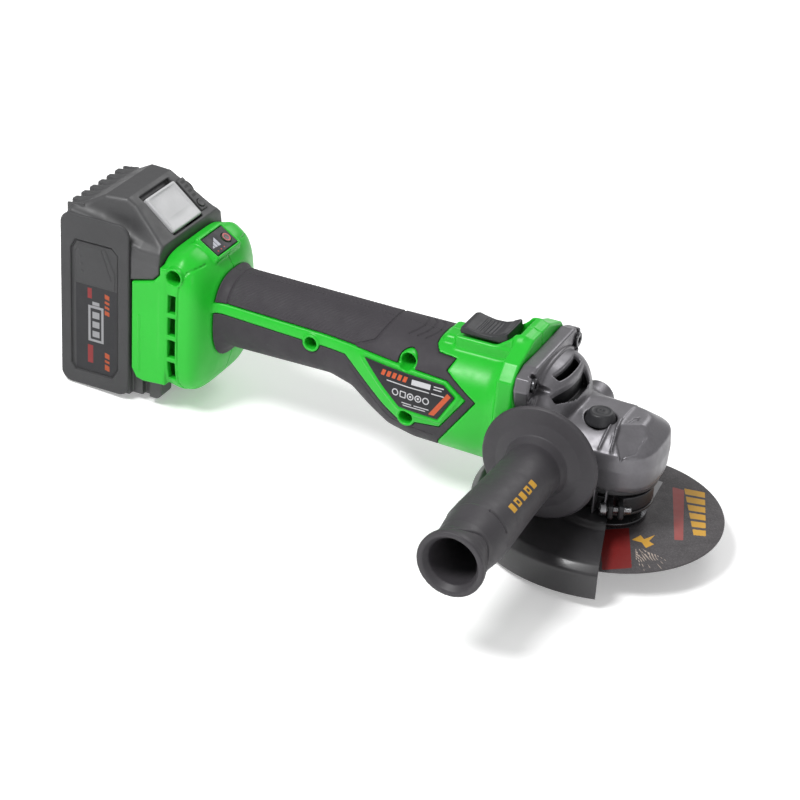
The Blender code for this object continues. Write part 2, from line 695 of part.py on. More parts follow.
def make_spindle(steel, dark, disc, spindle):
    centre = (0.0, 0.0, 0.0)
    make_bearing("spindle_bearing", "z", centre, 8.2, 16.0, 30.2, 39.0, steel)
    make_object("needle_bearing", shape(turned, "z", centre, ring_profile(5.3, 7.3, 51.5, 57.6),
                                        16), steel)
    rod = [(0.0, 0.0), (6.2, 0.0), (THREAD_R, 0.8), (THREAD_R, 14.0), (7.8, 14.0),
           (7.8, 40.6), (5.7, 40.6), (5.7, 50.8), (5.0, 50.8), (5.0, 57.0), (0.0, 57.6)]
    make_object("spindle", shape(turned, "z", centre, rod, 16), steel, spindle)

    blank = [(20.4, MOTOR_Z - 42.4), (6.0, MOTOR_Z - 42.4), (6.0, MOTOR_Z - 50.0),
             (14.0, MOTOR_Z - 50.0)]
    gear = make_object("ring_gear", shape(bevel_gear, "z", RING_TEETH, PINION_TEETH,
                                          RING_HEEL_R, RING_TOE_R,
                                          math.pi + math.pi / RING_TEETH, blank),
                       steel, spindle, sharp=25)
    holes = bmesh.new()
    lock_radius = math.hypot(*LOCK_XY)
    lock_angle = math.atan2(LOCK_XY[1], LOCK_XY[0])
    for index in range(LOCK_HOLES):
        angle = lock_angle + math.tau * index / LOCK_HOLES
        turned(holes, "z", (lock_radius * math.cos(angle), lock_radius * math.sin(angle), 0),
               rod_profile(2.4, 44.5, 55.0), 8)
    cut(gear, make_object("ring_gear_lock_holes", holes))

    flange = [(THREAD_R + GAP, 6.9), (10.7, 6.9), (10.7, 7.8), (19.0, 7.8), (20.4, 9.0),
              (20.4, 10.6), (12.0, 13.7), (THREAD_R + GAP, 13.7)]
    make_object("inner_flange", shape(turned, "z", centre, flange, 24), steel, spindle)
    blade = [(DISC_BORE_R, DISC_BOTTOM), (DISC_R, DISC_BOTTOM), (DISC_R, DISC_TOP),
             (DISC_BORE_R, DISC_TOP)]
    make_object("cutting_disc", shape(turned, "z", centre, blade, 48), disc, spindle)
    nut = [(THREAD_R + GAP, 1.4), (13.0, 1.4), (13.6, 2.2), (19.4, 2.2), (20.0, 2.8),
           (20.0, 6.2), (THREAD_R + GAP, 6.2)]
    clamp = make_object("clamp_nut", shape(turned, "z", centre, nut, 24), dark, spindle)
    pins = bmesh.new()
    for index in range(4):
        angle = math.tau * (index + 0.5) / 4
        turned(pins, "z", (16.5 * math.cos(angle), 16.5 * math.sin(angle), 0),
               rod_profile(2.2, 0.0, 4.6), 8)
    cut(clamp, make_object("clamp_nut_pin_holes", pins))


def make_bearing_cap(cast):
    profile = [(8.6, 15.0), (18.8, 15.0), (19.8, 16.0), (19.8, 30.6), (27.0, 30.6),
               (27.4, 31.2), (27.4, 34.4), (21.6, 34.4), (21.6, 39.2), (16.3, 39.2),
               (16.3, 29.9), (8.6, 29.9)]
    make_object("bearing_cap", shape(turned, "z", (0, 0, 0), profile, 24), cast)


def make_lock(dark, steel, lock):
    cap = [(0.0, 50.6), (2.0, 50.6), (2.0, 65.0), (4.6, 65.0), (4.6, 62.7), (8.5, 62.7),
           (8.5, 64.0), (6.4, 70.6), (5.6, 71.4), (0.0, 71.4)]
    make_object("lock_button", shape(turned, "z", (*LOCK_XY, 0), cap, 18), dark, lock)
    make_object("lock_spring", shape(helix_tube, (*LOCK_XY, 0), 3.3, 0.45, 59.6, 64.7, 3), steel)


def make_guard(dark, steel, guard):
    centre = (0.0, 0.0, 0.0)
    shell = [(24.0, 17.6), (34.0, 17.6), (37.0, 15.0), (GUARD_R - 5.0, 15.0),
             (GUARD_R - 1.6, 11.6), (GUARD_R - 1.6, -2.2), (GUARD_R, -2.2), (GUARD_R, 12.4),
             (GUARD_R - 4.2, 16.6), (38.0, 16.6), (35.0, 19.2), (24.0, 19.2)]
    piece = make_object("guard_shell", shape(turned, "z", centre, shell, 28, GUARD_START,
                                             GUARD_SWEEP), dark, guard)
    plate = ring_profile(20.2, 26.0, 17.5, 19.1)
    join(piece, guide("guard_plate", turned, "z", centre, plate, 24))

    band = make_object("guard_band", shape(turned, "z", centre,
                                           ring_profile(20.2, 22.4, 19.5, 28.0), 24),
                       steel, guard)
    angle = GUARD_START + GUARD_SWEEP + math.radians(8)
    away = Vector((math.cos(angle), math.sin(angle)))
    across = Vector((-away.y, away.x))
    lugs = bmesh.new()
    for side in (-1, 1):
        low, high = sorted((side * 1.2, side * 4.4))
        corners = [away * a + across * b for a, b in ((21.6, low), (31.0, low), (31.0, high),
                                                      (21.6, high))]
        prism(lugs, "z", [tuple(c) for c in corners], 19.7, 27.8)
    join(band, make_object("guard_band_lugs", lugs))
    slit = bmesh.new()
    corners = [away * a + across * b for a, b in ((18.0, -0.9), (26.0, -0.9), (26.0, 0.9),
                                                  (18.0, 0.9))]
    prism(slit, "z", [tuple(c) for c in corners], 10.0, 40.0)
    cut(band, make_object("guard_band_slit", slit))
    turn = Euler((0.0, 0.0, angle))
    bore = bmesh.new()
    turned(bore, "y", (0, 0, 0), rod_profile(2.3, -12.0, 12.0), 8)
    place_tilted(bore, turn, (away.x * 26.8, away.y * 26.8, 23.8))
    cut(band, make_object("guard_band_bore", bore))
    screw = bmesh.new()
    turned(screw, "y", (0, 0, 0), [(0.0, -8.4), (3.6, -8.4), (3.6, -4.7), (2.0, -4.7),
                                   (2.0, 8.5), (0.0, 8.5)], 10)
    place_tilted(screw, turn, (away.x * 26.8, away.y * 26.8, 23.8))
    make_object("guard_clamp_screw", screw, steel, guard)


# ---------------------------------------------------------------- side handle

def make_handle(rubber, steel):
    centre = (HANDLE_X, 0.0, HANDLE_Z)
    grip = [(4.3, -38.3), (11.5, -38.3), (12.5, -41.0), (32.0, -44.5), (32.9, -46.0),
            (32.0, -48.0), (19.0, -50.6), (15.4, -56.0), (15.8, -80.0), (17.2, -122.0),
            (15.4, -146.0), (18.0, -158.6), (18.0, -160.3), (15.4, -160.3), (12.8, -157.0),
            (12.4, -118.0), (4.3, -118.0), (4.3, -92.0), (6.8, -92.0), (6.8, -58.0),
            (4.3, -58.0)]
    make_object("side_handle_grip", shape(turned, "y", centre, grip, 26), rubber)
    stud = [(0.0, -25.0), (3.4, -25.0), (4.0, -25.8), (4.0, -58.3), (6.5, -58.3),
            (6.5, -91.7), (4.0, -91.7), (4.0, -112.0), (0.0, -112.0)]
    make_object("side_handle_stud", shape(turned, "y", centre, stud, 12), steel)


# ---------------------------------------------------------------- battery pack

def make_battery(dark, grey, light, board, cell, strip, pack, release, gauge):
    front = -263.4
    outline = [(-324.6, -34.4), (-281.8, -34.4), (-281.8, -30.8), (front, -30.8),
               (front, 30.8), (-281.8, 30.8), (-281.8, 34.4), (-324.6, 34.4)]
    case = make_object("battery_case", shape(prism, "z", outline, PACK_BOTTOM + 0.4, 100.0),
                       dark, pack)
    cut(case, guide("battery_cell_bay", box, (-322.9, -32.9, 15.8), (-284.2, 32.9, 110.0)),
        guide("battery_board_bay", box, (-285.0, -26.0, 15.8), (-272.6, 26.0, 110.0)),
        guide("battery_terminal_slot", box, (-270.4, -18.6, 5.0), (-255.0, 18.6, 80.0)))
    grooves = bmesh.new()
    for side in (-1, 1):
        low, high = sorted((side * 27.4, side * 40.0))
        box(grooves, (-275.6, low, 5.0), (-270.9, high, 120.0))
    cut(case, make_object("battery_grooves", grooves))

    shoulder = [(-324.6, 100.3), (-324.6, 116.0), (-320.5, 120.2), (-303.0, 117.5),
                (-288.0, 111.4), (-276.0, 107.5), (front, 106.5), (front, 100.3)]
    cover = make_object("battery_top_cover", shape(prism, "y", shoulder, -34.2, 34.2), dark,
                        pack)
    hump = [(-323.0, 112.0), (-320.0, 121.5), (-303.0, 130.8), (-290.0, 131.0),
            (-284.4, 127.6), (front, 110.2), (front, 104.0), (-300.0, 104.0)]
    join(cover, guide("battery_hump", prism, "y", hump, -27.0, 27.0))
    ribs = bmesh.new()
    for index in range(7):
        y = -27.0 + 9.0 * index
        box(ribs, (-325.8, y - 2.2, 106.0), (-317.0, y + 2.2, 122.6))
    join(cover, make_object("battery_ribs", ribs))
    inside = [(-322.9, 95.0), (-322.9, 110.4), (-302.0, 127.0), (-292.0, 127.4),
              (-283.6, 122.0), (-266.0, 107.0), (-266.0, 95.0)]
    cut(cover, guide("battery_cover_bay", prism, "y", inside, -24.0, 24.0))
    cut(cover, guide("battery_cover_cells", box, (-322.9, -32.9, 95.0), (-284.2, 32.9, 109.6)))
    steps = bmesh.new()
    for side in (-1, 1):
        low, high = sorted((side * 30.8, side * 40.0))
        box(steps, (-281.8, low, 90.0), (-250.0, high, 130.0))
    cut(cover, make_object("battery_cover_steps", steps))
    cut(cover, guide("battery_latch_window", box, (-268.0, -6.6, 90.0), (-255.0, 6.6, 106.0)))

    for side, name in ((-1, "battery_side_left"), (1, "battery_side_right")):
        low, high = sorted((side * 34.7, side * PACK_HALF_WIDTH))
        outline = rounded_outline((PACK_BACK, PACK_BOTTOM), (-281.3, 119.8), 7.0, 4)
        make_object(name, shape(prism, "y", outline, low, high), grey, pack, bevel=0.9)

    for index in range(5):
        z = 16.2 + CELL_R + 18.6 * index
        pair = bmesh.new()
        turned(pair, "y", (-313.4, 0, z), rod_profile(CELL_R, -CELL_HALF_LENGTH,
                                                      CELL_HALF_LENGTH), 14)
        body = make_object(f"cell_pair_{index + 1}", pair, cell, pack)
        mate = guide(f"cell_mate_{index + 1}", turned, "y", (-293.8, 0, z),
                     rod_profile(CELL_R, -CELL_HALF_LENGTH, CELL_HALF_LENGTH), 14)
        link = guide(f"cell_strip_{index + 1}", box, (-308.0, -32.2, z - 4.0),
                     (-299.0, 32.2, z + 4.0))
        join(body, mate, link)
    make_object("battery_board", shape(box, (-281.5, -24.0, 18.0), (-278.0, 24.0, 96.0)), board,
                pack)

    middle = Vector(BUTTON_MIDDLE)
    tilt = Euler((0.0, BUTTON_SLOPE, 0.0))

    pocket = bmesh.new()
    box(pocket, (-12.6, -16.1, -7.0), (12.6, 16.1, 12.0))
    place_tilted(pocket, tilt, middle)
    cut(cover, make_object("release_pocket", pocket))
    slab = bmesh.new()
    box(slab, (-12.2, -15.5, -2.6), (12.2, 15.5, 1.8))
    place_tilted(slab, tilt, middle)
    button = make_object("release_button", slab, light, release, bevel=0.8)
    stem = [(-274.5, 103.6), (-263.8, 103.6), (-263.8, 105.6), (-269.5, 105.8),
            (-269.5, 113.0), (-274.5, 117.5)]
    latch = guide("release_latch", prism, "y", stem, -6.0, 6.0)
    join(button, latch)

    strip_box = bmesh.new()
    box(strip_box, (-11.0, 17.6, 0.3), (11.0, 24.6, 1.2))
    place_tilted(strip_box, tilt, middle)
    panel = make_object("gauge_panel", strip_box, strip, pack)
    hole = bmesh.new()
    turned(hole, "z", (7.0, 21.1, 0), rod_profile(2.7, -2.0, 4.0), 14)
    place_tilted(hole, tilt, middle)
    cut(panel, make_object("gauge_button_hole", hole))
    cap = bmesh.new()
    turned(cap, "z", (7.0, 21.1, 0), rod_profile(2.4, 1.0, 1.9, 0.2), 14)
    place_tilted(cap, tilt, middle)
    make_object("gauge_button", cap, light, gauge)


# ---------------------------------------------------------------- build

def make_housing_screws(steel):
    for index, (x, z, _) in enumerate(HOUSING_SCREWS):
        profile = [(0.0, -7.4), (1.8, -7.4), (1.8, -8.9), (3.4, -8.9), (3.4, -6.3),
                   (1.5, -6.3), (1.5, 11.0), (0.0, 11.0)]
        make_object(f"housing_screw_{index + 1}", shape(turned, "y", (x, 0, z), profile, 8),
                    steel)


def build():
    for obj in list(bpy.data.objects):
        bpy.data.objects.remove(obj, do_unlink=True)
    green = make_material("green_plastic", (0.045, 0.604, 0.045), 0.4)
    rubber = make_material("black_rubber", (0.06, 0.058, 0.063), 0.75)
    dark = make_material("black_plastic", (0.04, 0.04, 0.043), 0.5)
    grey = make_material("grey_plastic", (0.10, 0.10, 0.105), 0.5)
    light = make_material("light_grey_plastic", (0.60, 0.60, 0.60), 0.4)
    cast = make_material("cast_aluminium", (0.18, 0.18, 0.19), 0.35, 0.8)
    steel = make_material("steel", (0.55, 0.55, 0.56), 0.3, 1.0)
    guard_steel = make_material("painted_steel", (0.03, 0.03, 0.032), 0.4)
    disc = make_material("disc_resin", (0.11, 0.10, 0.11), 0.7)
    copper = make_material("copper_winding", (0.45, 0.20, 0.09), 0.4, 0.8)
    board = make_material("circuit_board", (0.02, 0.16, 0.06), 0.5)
    cell = make_material("cell_wrap", (0.05, 0.18, 0.42), 0.4)
    label = make_material("label_film", (0.05, 0.05, 0.05), 0.3)

    spindle = make_empty("spindle_axis", (0, 0, 0))
    rotor = make_empty("rotor_axis", (0, 0, MOTOR_Z))
    guard = make_empty("guard_axis", (0, 0, 20.0))
    lock = make_empty("lock_axis", (*LOCK_XY, 66.0))
    switch = make_empty("switch_axis", (-77.0, 0, 95.0))
    speed = make_empty("speed_button_axis", (-245.0, 6.0, 105.0))
    pack = make_empty("pack_axis", (-300.0, 0, 60.0))
    release = make_empty("release_axis", BUTTON_MIDDLE)
    gauge = make_empty("gauge_button_axis", (-269.0, 21.0, 115.0))

    make_housing(-1, "housing_left", green)
    make_housing(1, "housing_right", green)
    make_rubber(-1, "grip_rubber_left", rubber)
    make_rubber(1, "grip_rubber_right", rubber)
    make_label(-1, "label_plate_left", label)
    make_label(1, "label_plate_right", label)
    make_housing_screws(steel)
    make_motor(steel, copper, dark, cast, grey, rotor)
    make_controls(dark, board, light, switch, speed)
    make_gear_case(cast, steel)
    make_bearing_cap(cast)
    make_spindle(steel, dark, disc, spindle)
    make_lock(dark, steel, lock)
    make_guard(guard_steel, steel, guard)
    make_handle(rubber, steel)
    make_battery(dark, grey, light, board, cell, label, pack, release, gauge)


if __name__ == "__main__":
    build()
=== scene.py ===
"""Looks of the cordless angle grinder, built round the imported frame.

Shapes are worked out in millimetres, in the frame's own axes, as distance fields that are
meshed finely, and as turned profiles. They become metres when a mesh is made.
"""

import math

import bmesh
import bpy
import numpy as np
from mathutils import Matrix, Vector


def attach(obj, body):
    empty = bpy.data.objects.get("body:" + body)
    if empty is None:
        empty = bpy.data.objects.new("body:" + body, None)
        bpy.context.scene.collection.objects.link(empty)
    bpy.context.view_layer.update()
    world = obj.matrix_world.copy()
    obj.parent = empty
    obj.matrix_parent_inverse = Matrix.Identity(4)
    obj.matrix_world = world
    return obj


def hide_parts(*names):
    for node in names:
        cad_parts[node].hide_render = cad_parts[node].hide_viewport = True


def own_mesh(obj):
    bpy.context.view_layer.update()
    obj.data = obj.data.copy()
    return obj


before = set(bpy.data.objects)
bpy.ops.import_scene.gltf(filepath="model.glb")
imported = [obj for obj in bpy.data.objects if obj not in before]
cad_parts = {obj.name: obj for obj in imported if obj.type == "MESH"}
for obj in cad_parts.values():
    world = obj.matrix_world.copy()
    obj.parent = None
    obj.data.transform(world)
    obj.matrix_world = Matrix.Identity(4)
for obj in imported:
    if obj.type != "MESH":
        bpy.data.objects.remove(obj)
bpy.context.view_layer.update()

MM = 0.001
SIDES = (-1, 1)                     # left and right
SPLIT = 0.12                        # half of the gap between left and right shells
RUBBER = 1.8                        # thickness of the soft cover
MOTOR_Z = 56.5
HANDLE_X, HANDLE_Z = -26.4, 52.4
LOCK_XY = (-7.8, -9.2)


# ---------------------------------------------------------------- distance fields

def blend_min(a, b, k):
    """Join two distances, with a fillet of about k where they meet."""
    h = np.maximum(k - np.abs(a - b), 0.0) / k
    return np.minimum(a, b) - h * h * k / 4


def blend_max(a, b, k):
    return -blend_min(-a, -b, k)


def carve(a, b, k=0.6):
    """Take shape b away from shape a, with a rounded rim."""
    return blend_max(a, -b, k)


def near_box(p, low, high, r=0.0):
    centre = (np.array(low) + np.array(high)) / 2
    half = (np.array(high) - np.array(low)) / 2 - r
    q = np.abs(p - centre) - half
    return np.sqrt((np.maximum(q, 0) ** 2).sum(1)) + np.minimum(q.max(1), 0) - r


def raised(flat, along, low, high, r=0.0):
    """A flat shape's distance, raised along a third axis from low to high."""
    q = np.abs(along - (low + high) / 2) - ((high - low) / 2 - r)
    flat = flat + r
    outside = np.hypot(np.maximum(flat, 0), np.maximum(q, 0))
    return np.minimum(np.maximum(flat, q), 0) + outside - r


def near_rod(p, axis, centre, radius, low, high, r=0.0):
    u, v = [i for i in range(3) if i != axis]
    flat = np.hypot(p[:, u] - centre[u], p[:, v] - centre[v]) - radius
    return raised(flat, p[:, axis], low, high, r)


def nearest_run(u, v, starts, ends):
    """Distance to flat straight runs, and whether they go round each place."""
    nearest = np.full(u.shape, 1e12)
    inside = np.zeros(u.shape, bool)
    for (au, av), (bu, bv) in zip(starts, ends):
        eu, ev = bu - au, bv - av
        wu, wv = u - au, v - av
        t = np.clip((wu * eu + wv * ev) / (eu * eu + ev * ev), 0, 1)
        nearest = np.minimum(nearest, (wu - eu * t) ** 2 + (wv - ev * t) ** 2)
        if ev:
            inside ^= ((av <= v) != (bv <= v)) & (eu * wv / ev > wu)
    return np.sqrt(nearest), inside


def near_outline(u, v, points):
    """Signed distance to a closed flat outline."""
    away, inside = nearest_run(u, v, points, points[1:] + points[:1])
    return np.where(inside, -1.0, 1.0) * away


def near_line(u, v, points):
    """Distance to a flat chain of straight runs."""
    return nearest_run(u, v, points, points[1:])[0]


def near_rect(u, v, low, high):
    return near_outline(u, v, [(low[0], low[1]), (high[0], low[1]), (high[0], high[1]),
                               (low[0], high[1])])


def near_hexagon(u, v, radius):
    turn = fold(np.arctan2(v, u) + math.pi / 6, math.pi / 3)
    return np.hypot(u, v) * np.cos(turn) - radius


def near_star(u, v, radius):
    """Six-lobed socket of a screw head."""
    return np.hypot(u, v) - radius * (1 + 0.16 * np.cos(6 * np.arctan2(v, u)))


def any_of(*distances):
    nearest = distances[0]
    for other in distances[1:]:
        nearest = np.minimum(nearest, other)
    return nearest


def fold(t, pitch):
    """Distance from the middle of the stretch, one pitch long, that t is in."""
    return np.abs(t % pitch - pitch / 2)


def ridge(away, crest, width):
    """Height, from 0 to 1, of a bead that runs where away is zero."""
    return np.clip(crest - np.abs(away) / width, 0, 1)


def sloped_axes(middle, slope):
    """Places along a slope in the XZ plane, across it and above it."""
    c, s = math.cos(slope), math.sin(slope)

    def axes(p):
        dx, dz = p[:, 0] - middle[0], p[:, 2] - middle[1]
        return np.stack([dx * c - dz * s, p[:, 1], dx * s + dz * c], 1)
    return axes


class Loft:
    """A body with a rounded section whose size changes smoothly along one axis.

    Each station is (place, centre u, centre v, half size u, half size v, power).
    """

    def __init__(self, axis, stations, soften=2.0, step=0.25):
        self.axis = axis
        self.u, self.v = [i for i in range(3) if i != axis]
        table = np.array(sorted(stations), float)
        self.low, self.high = table[0, 0], table[-1, 0]
        self.along = np.arange(self.low - 6 * soften, self.high + 6 * soften, step)
        reach = max(int(3 * soften / step), 1)
        kernel = np.exp(-0.5 * (np.arange(-reach, reach + 1) * step / soften) ** 2)
        kernel /= kernel.sum()
        self.columns = []
        for k in range(1, table.shape[1]):
            straight = np.interp(self.along, table[:, 0], table[:, k])
            padded = np.pad(straight, reach, mode="edge")
            self.columns.append(np.convolve(padded, kernel, mode="valid"))
        self.slopes = [np.gradient(c, step) for c in self.columns[:4]]

    def __call__(self, p, inset=0.0):
        x = p[:, self.axis]
        cu, cv, hu, hv, n = (np.interp(x, self.along, c) for c in self.columns)
        su, sv, tu, tv = (np.interp(x, self.along, s) for s in self.slopes)
        du, dv = p[:, self.u] - cu, p[:, self.v] - cv
        a, b = np.abs(du) / hu, np.abs(dv) / hv
        size = np.maximum((a ** n + b ** n) ** (1 / n), 1e-6)
        fa, fb = (a / size) ** (n - 1), (b / size) ** (n - 1)
        along = fa * (-a * tu - np.sign(du) * su) / hu + fb * (-b * tv - np.sign(dv) * sv) / hv
        grade = np.sqrt((fa / hu) ** 2 + (fb / hv) ** 2 + along ** 2)
        return (size - 1) / np.maximum(grade, 1e-9) + inset


# ---------------------------------------------------------------- meshing

BLOCK = 8
EDGES = [(0, 1), (2, 3), (4, 5), (6, 7), (0, 2), (1, 3), (4, 6), (5, 7), (0, 4), (1, 5), (2, 6),
         (3, 7)]
CORNERS = np.array([(i & 1, i >> 1 & 1, i >> 2 & 1) for i in range(8)])
PROBES = np.array([(1, -1, -1), (-1, -1, 1), (-1, 1, -1), (1, 1, 1)], float)


def in_chunks(field, points, size=400000):
    parts = [field(points[i:i + size]) for i in range(0, len(points), size)]
    return np.concatenate(parts) if parts else np.zeros(0)


def sample(field, low, high, step):
    """The field on a grid, worked out exactly only in blocks that the surface may cross."""
    low = np.array(low, float) - 1.5 * step
    blocks = np.ceil((np.array(high, float) + 1.5 * step - low) / (BLOCK * step)).astype(int)
    index = np.stack(np.meshgrid(*[np.arange(n) for n in blocks], indexing="ij"), -1)
    index = index.reshape(-1, 3)
    coarse = in_chunks(field, low + (index + 0.5) * BLOCK * step)
    grid = np.repeat(np.repeat(np.repeat(coarse.reshape(blocks), BLOCK, 0), BLOCK, 1), BLOCK, 2)
    grid = np.pad(grid, ((0, 1),) * 3, mode="edge").astype(np.float32)
    active = index[np.abs(coarse) < BLOCK * step * 1.1 + 1.0]
    local = np.stack(np.meshgrid(*[np.arange(BLOCK + 1)] * 3, indexing="ij"), -1).reshape(-1, 3)
    nodes = (active[:, None, :] * BLOCK + local[None]).reshape(-1, 3)
    grid[tuple(nodes.T)] = in_chunks(field, low + nodes * step)
    return grid, low


def surface(field, low, high, step):
    """Vertices and quads of the field's zero surface, one vertex in each crossed cell."""
    grid, low = sample(field, low, high, step)
    inside = grid < 0
    count = np.zeros(np.array(grid.shape) - 1, np.int8)
    for corner in CORNERS:
        window = tuple(slice(c, n - 1 + c) for c, n in zip(corner, grid.shape))
        count += inside[window]
    cells = np.argwhere((count > 0) & (count < 8))
    values = np.stack([grid[tuple((cells + c).T)] for c in CORNERS], 1)
    total = np.zeros((len(cells), 3))
    hits = np.zeros(len(cells))
    for a, b in EDGES:
        crossed = (values[:, a] < 0) != (values[:, b] < 0)
        gap = np.where(crossed, values[:, a] - values[:, b], 1.0)
        t = np.where(crossed, values[:, a] / gap, 0.0)[:, None]
        place = CORNERS[a] + t * (CORNERS[b] - CORNERS[a])
        total += place * crossed[:, None]
        hits += crossed
    points = low + (cells + total / hits[:, None]) * step
    number = np.full(count.shape, -1, np.int32)
    number[tuple(cells.T)] = np.arange(len(cells))
    quads = []
    for axis in range(3):
        u, v = (axis + 1) % 3, (axis + 2) % 3
        here = tuple(slice(0, n - 1) if i == axis else slice(1, n - 1)
                     for i, n in enumerate(grid.shape))
        there = tuple(slice(1, n) if i == axis else slice(1, n - 1)
                      for i, n in enumerate(grid.shape))
        crossed = np.argwhere(inside[here] != inside[there])
        start = crossed + [0 if i == axis else 1 for i in range(3)]
        flip = inside[tuple(start.T)]
        ring = []
        for du, dv in ((0, 0), (1, 0), (1, 1), (0, 1)):
            cell = start.copy()
            cell[:, u] -= du
            cell[:, v] -= dv
            ring.append(number[tuple(cell.T)])
        ring = np.stack(ring, 1)
        ring[~flip] = ring[~flip][:, ::-1]
        quads.append(ring)
    return points, np.concatenate(quads)


def settle(field, points, step, rounds=3, reach=0.06):
    """Move vertices onto the zero surface along the field's gradient."""
    for _ in range(rounds):
        value = in_chunks(field, points)
        grade = np.zeros_like(points)
        for probe in PROBES:
            grade += probe * in_chunks(field, points + probe * reach)[:, None]
        grade /= 4 * reach
        scale = np.maximum((grade ** 2).sum(1), 0.2)
        move = -(value / scale)[:, None] * grade
        far = np.sqrt((move ** 2).sum(1))
        move *= np.minimum(1.0, 0.6 * step / np.maximum(far, 1e-9))[:, None]
        points = points + move
    return points


def mesh_object(name, points, quads):
    """An object from points in millimetres and quads."""
    mesh = bpy.data.meshes.new(name)
    mesh.vertices.add(len(points))
    mesh.vertices.foreach_set("co", (np.asarray(points) * MM).astype(np.float32).ravel())
    mesh.loops.add(len(quads) * 4)
    mesh.loops.foreach_set("vertex_index", np.asarray(quads, np.int32).ravel())
    mesh.polygons.add(len(quads))
    mesh.polygons.foreach_set("loop_start", np.arange(0, len(quads) * 4, 4, dtype=np.int32))
    mesh.update(calc_edges=True)
    mesh.validate()
    mesh.shade_smooth()
    obj = bpy.data.objects.new(name, mesh)
    bpy.context.scene.collection.objects.link(obj)
    return obj


def field_object(name, field, low, high, step=0.6):
    points, quads = surface(field, low, high, step)
    return mesh_object(name, settle(field, points, step), quads)


# ---------------------------------------------------------------- turned pieces

def rounded(profile, radius, steps=3):
    """The same profile with its corners rounded."""
    points = [Vector(p) for p in profile]
    result = []
    for i, here in enumerate(points):
        before, after = points[i - 1], points[(i + 1) % len(points)]
        size = min(radius, (before - here).length * 0.45, (after - here).length * 0.45)
        if here.x == 0.0 or size < 0.02:
            result.append(here)
            continue
        first = here + (before - here).normalized() * size
        last = here + (after - here).normalized() * size
        for k in range(steps + 1):
            t = k / steps
            result.append(first * (1 - t) ** 2 + here * (2 * t * (1 - t)) + last * t ** 2)
    return [tuple(p) for p in result]


def turned(name, profile, centre=(0, 0, 0), segments=96, bend=None, start=0.0, sweep=math.tau):
    """Turn a closed (radius, height) profile about Z. bend may move the points."""
    full = abs(sweep - math.tau) < 1e-6
    count = segments if full else segments + 1
    angles = start + sweep * np.arange(count) / segments
    rings = []
    for radius, height in profile:
        ring = (radius * np.cos(angles), radius * np.sin(angles), np.full(count, float(height)))
        rings.append(np.stack(ring, 1) + np.array(centre))
    points = np.concatenate(rings)
    quads = []
    rows = len(profile)
    for i in range(rows):
        j = (i + 1) % rows
        for k in range(count if full else count - 1):
            n = (k + 1) % count
            quads.append((i * count + k, j * count + k, j * count + n, i * count + n))
    if bend:
        points = bend(points)
    obj = mesh_object(name, points, quads)
    tidy_mesh(obj, None if full else (0, count - 1, count, rows))
    return obj


def tidy_mesh(obj, caps):
    """Close the cut ends, merge points on the axis and face everything outwards."""
    bm = bmesh.new()
    bm.from_mesh(obj.data)
    bm.verts.ensure_lookup_table()
    if caps:
        first, last, count, rows = caps
        for column in (first, last):
            bm.faces.new([bm.verts[i * count + column] for i in range(rows)])
    bmesh.ops.remove_doubles(bm, verts=bm.verts, dist=1e-6)
    bmesh.ops.dissolve_degenerate(bm, edges=bm.edges, dist=1e-7)
    bmesh.ops.recalc_face_normals(bm, faces=bm.faces)
    bm.to_mesh(obj.data)
    bm.free()
    obj.data.shade_smooth()
    obj.data.set_sharp_from_angle(angle=math.radians(50))


# ---------------------------------------------------------------- gear case

PLATE = [(9.0, 95.5), (26.0, 95.5), (36.0, 92.0), (38.0, 85.0), (35.0, 74.0), (35.0, 40.0),
         (37.5, 29.0), (34.0, 21.5), (24.0, 20.0)]
PLATE_OUTLINE = PLATE + [(-y, z) for y, z in reversed(PLATE)]
NECK = Loft(0, [(-42.0, 0, 54.0, 33.0, 30.0, 2.4), (-34.0, 0, 54.0, 32.0, 26.5, 2.4),
                (-28.0, 0, 51.7, 30.0, 16.8, 2.5), (-18.0, 0, 51.2, 27.0, 16.4, 2.7),
                (-4.0, 0, 50.5, 24.0, 16.2, 2.8)], 1.2)
NOSE = Loft(2, [(33.0, 0, 0, 25.2, 26.2, 2.7), (38.0, 0, 0, 26.2, 27.2, 2.8),
                (48.0, 0, 0, 26.7, 28.2, 2.9), (56.8, 0, 0, 25.6, 27.6, 3.1),
                (57.8, 0, 0, 24.8, 26.6, 3.1), (66.2, -3.0, 0, 19.2, 14.6, 3.0),
                (68.0, -3.0, 0, 17.6, 12.6, 3.0)], 0.5)
SCREWS = [(side * 30.8, MOTOR_Z + level * 30.8) for level in (1, -1) for side in SIDES]
PLATE_BACK, PLATE_FACE, CASE_INSIDE = -48.0, -39.4, -46.0
AIR_OUTLETS = ((-30.4, 2.6, -15.8, 13.0), (-24.5, 6.4, -24.4, 13.0))
CASE_FACET = [(3.6, -5.0), (19.0, -5.0), (17.4, -21.7), (11.0, -27.0), (5.4, -20.0)]
ARROW_SHAFT = [(6.6, -6.2), (7.6, -6.6), (9.4, -1.6), (8.4, -1.2)]
ARROW_TIP = [(7.2, -1.4), (10.6, -2.4), (10.2, 1.6)]


def dome_section(y, z):
    """1 on the foot of the fan cover, less inside."""
    return (np.abs(y) / 34.0) ** 2.5 + (np.abs(z - MOTOR_Z) / 34.2) ** 2.5


def fan_dome(p):
    """Distance to the domed fan cover between the bolting plate and the roof."""
    x, y, z = p.T
    forward = np.maximum(x + 40.0, 0) / 19.6
    return ((dome_section(y, z) ** (2.3 / 2.5) + forward ** 2.3) ** (1 / 2.3) - 1) * 20.0


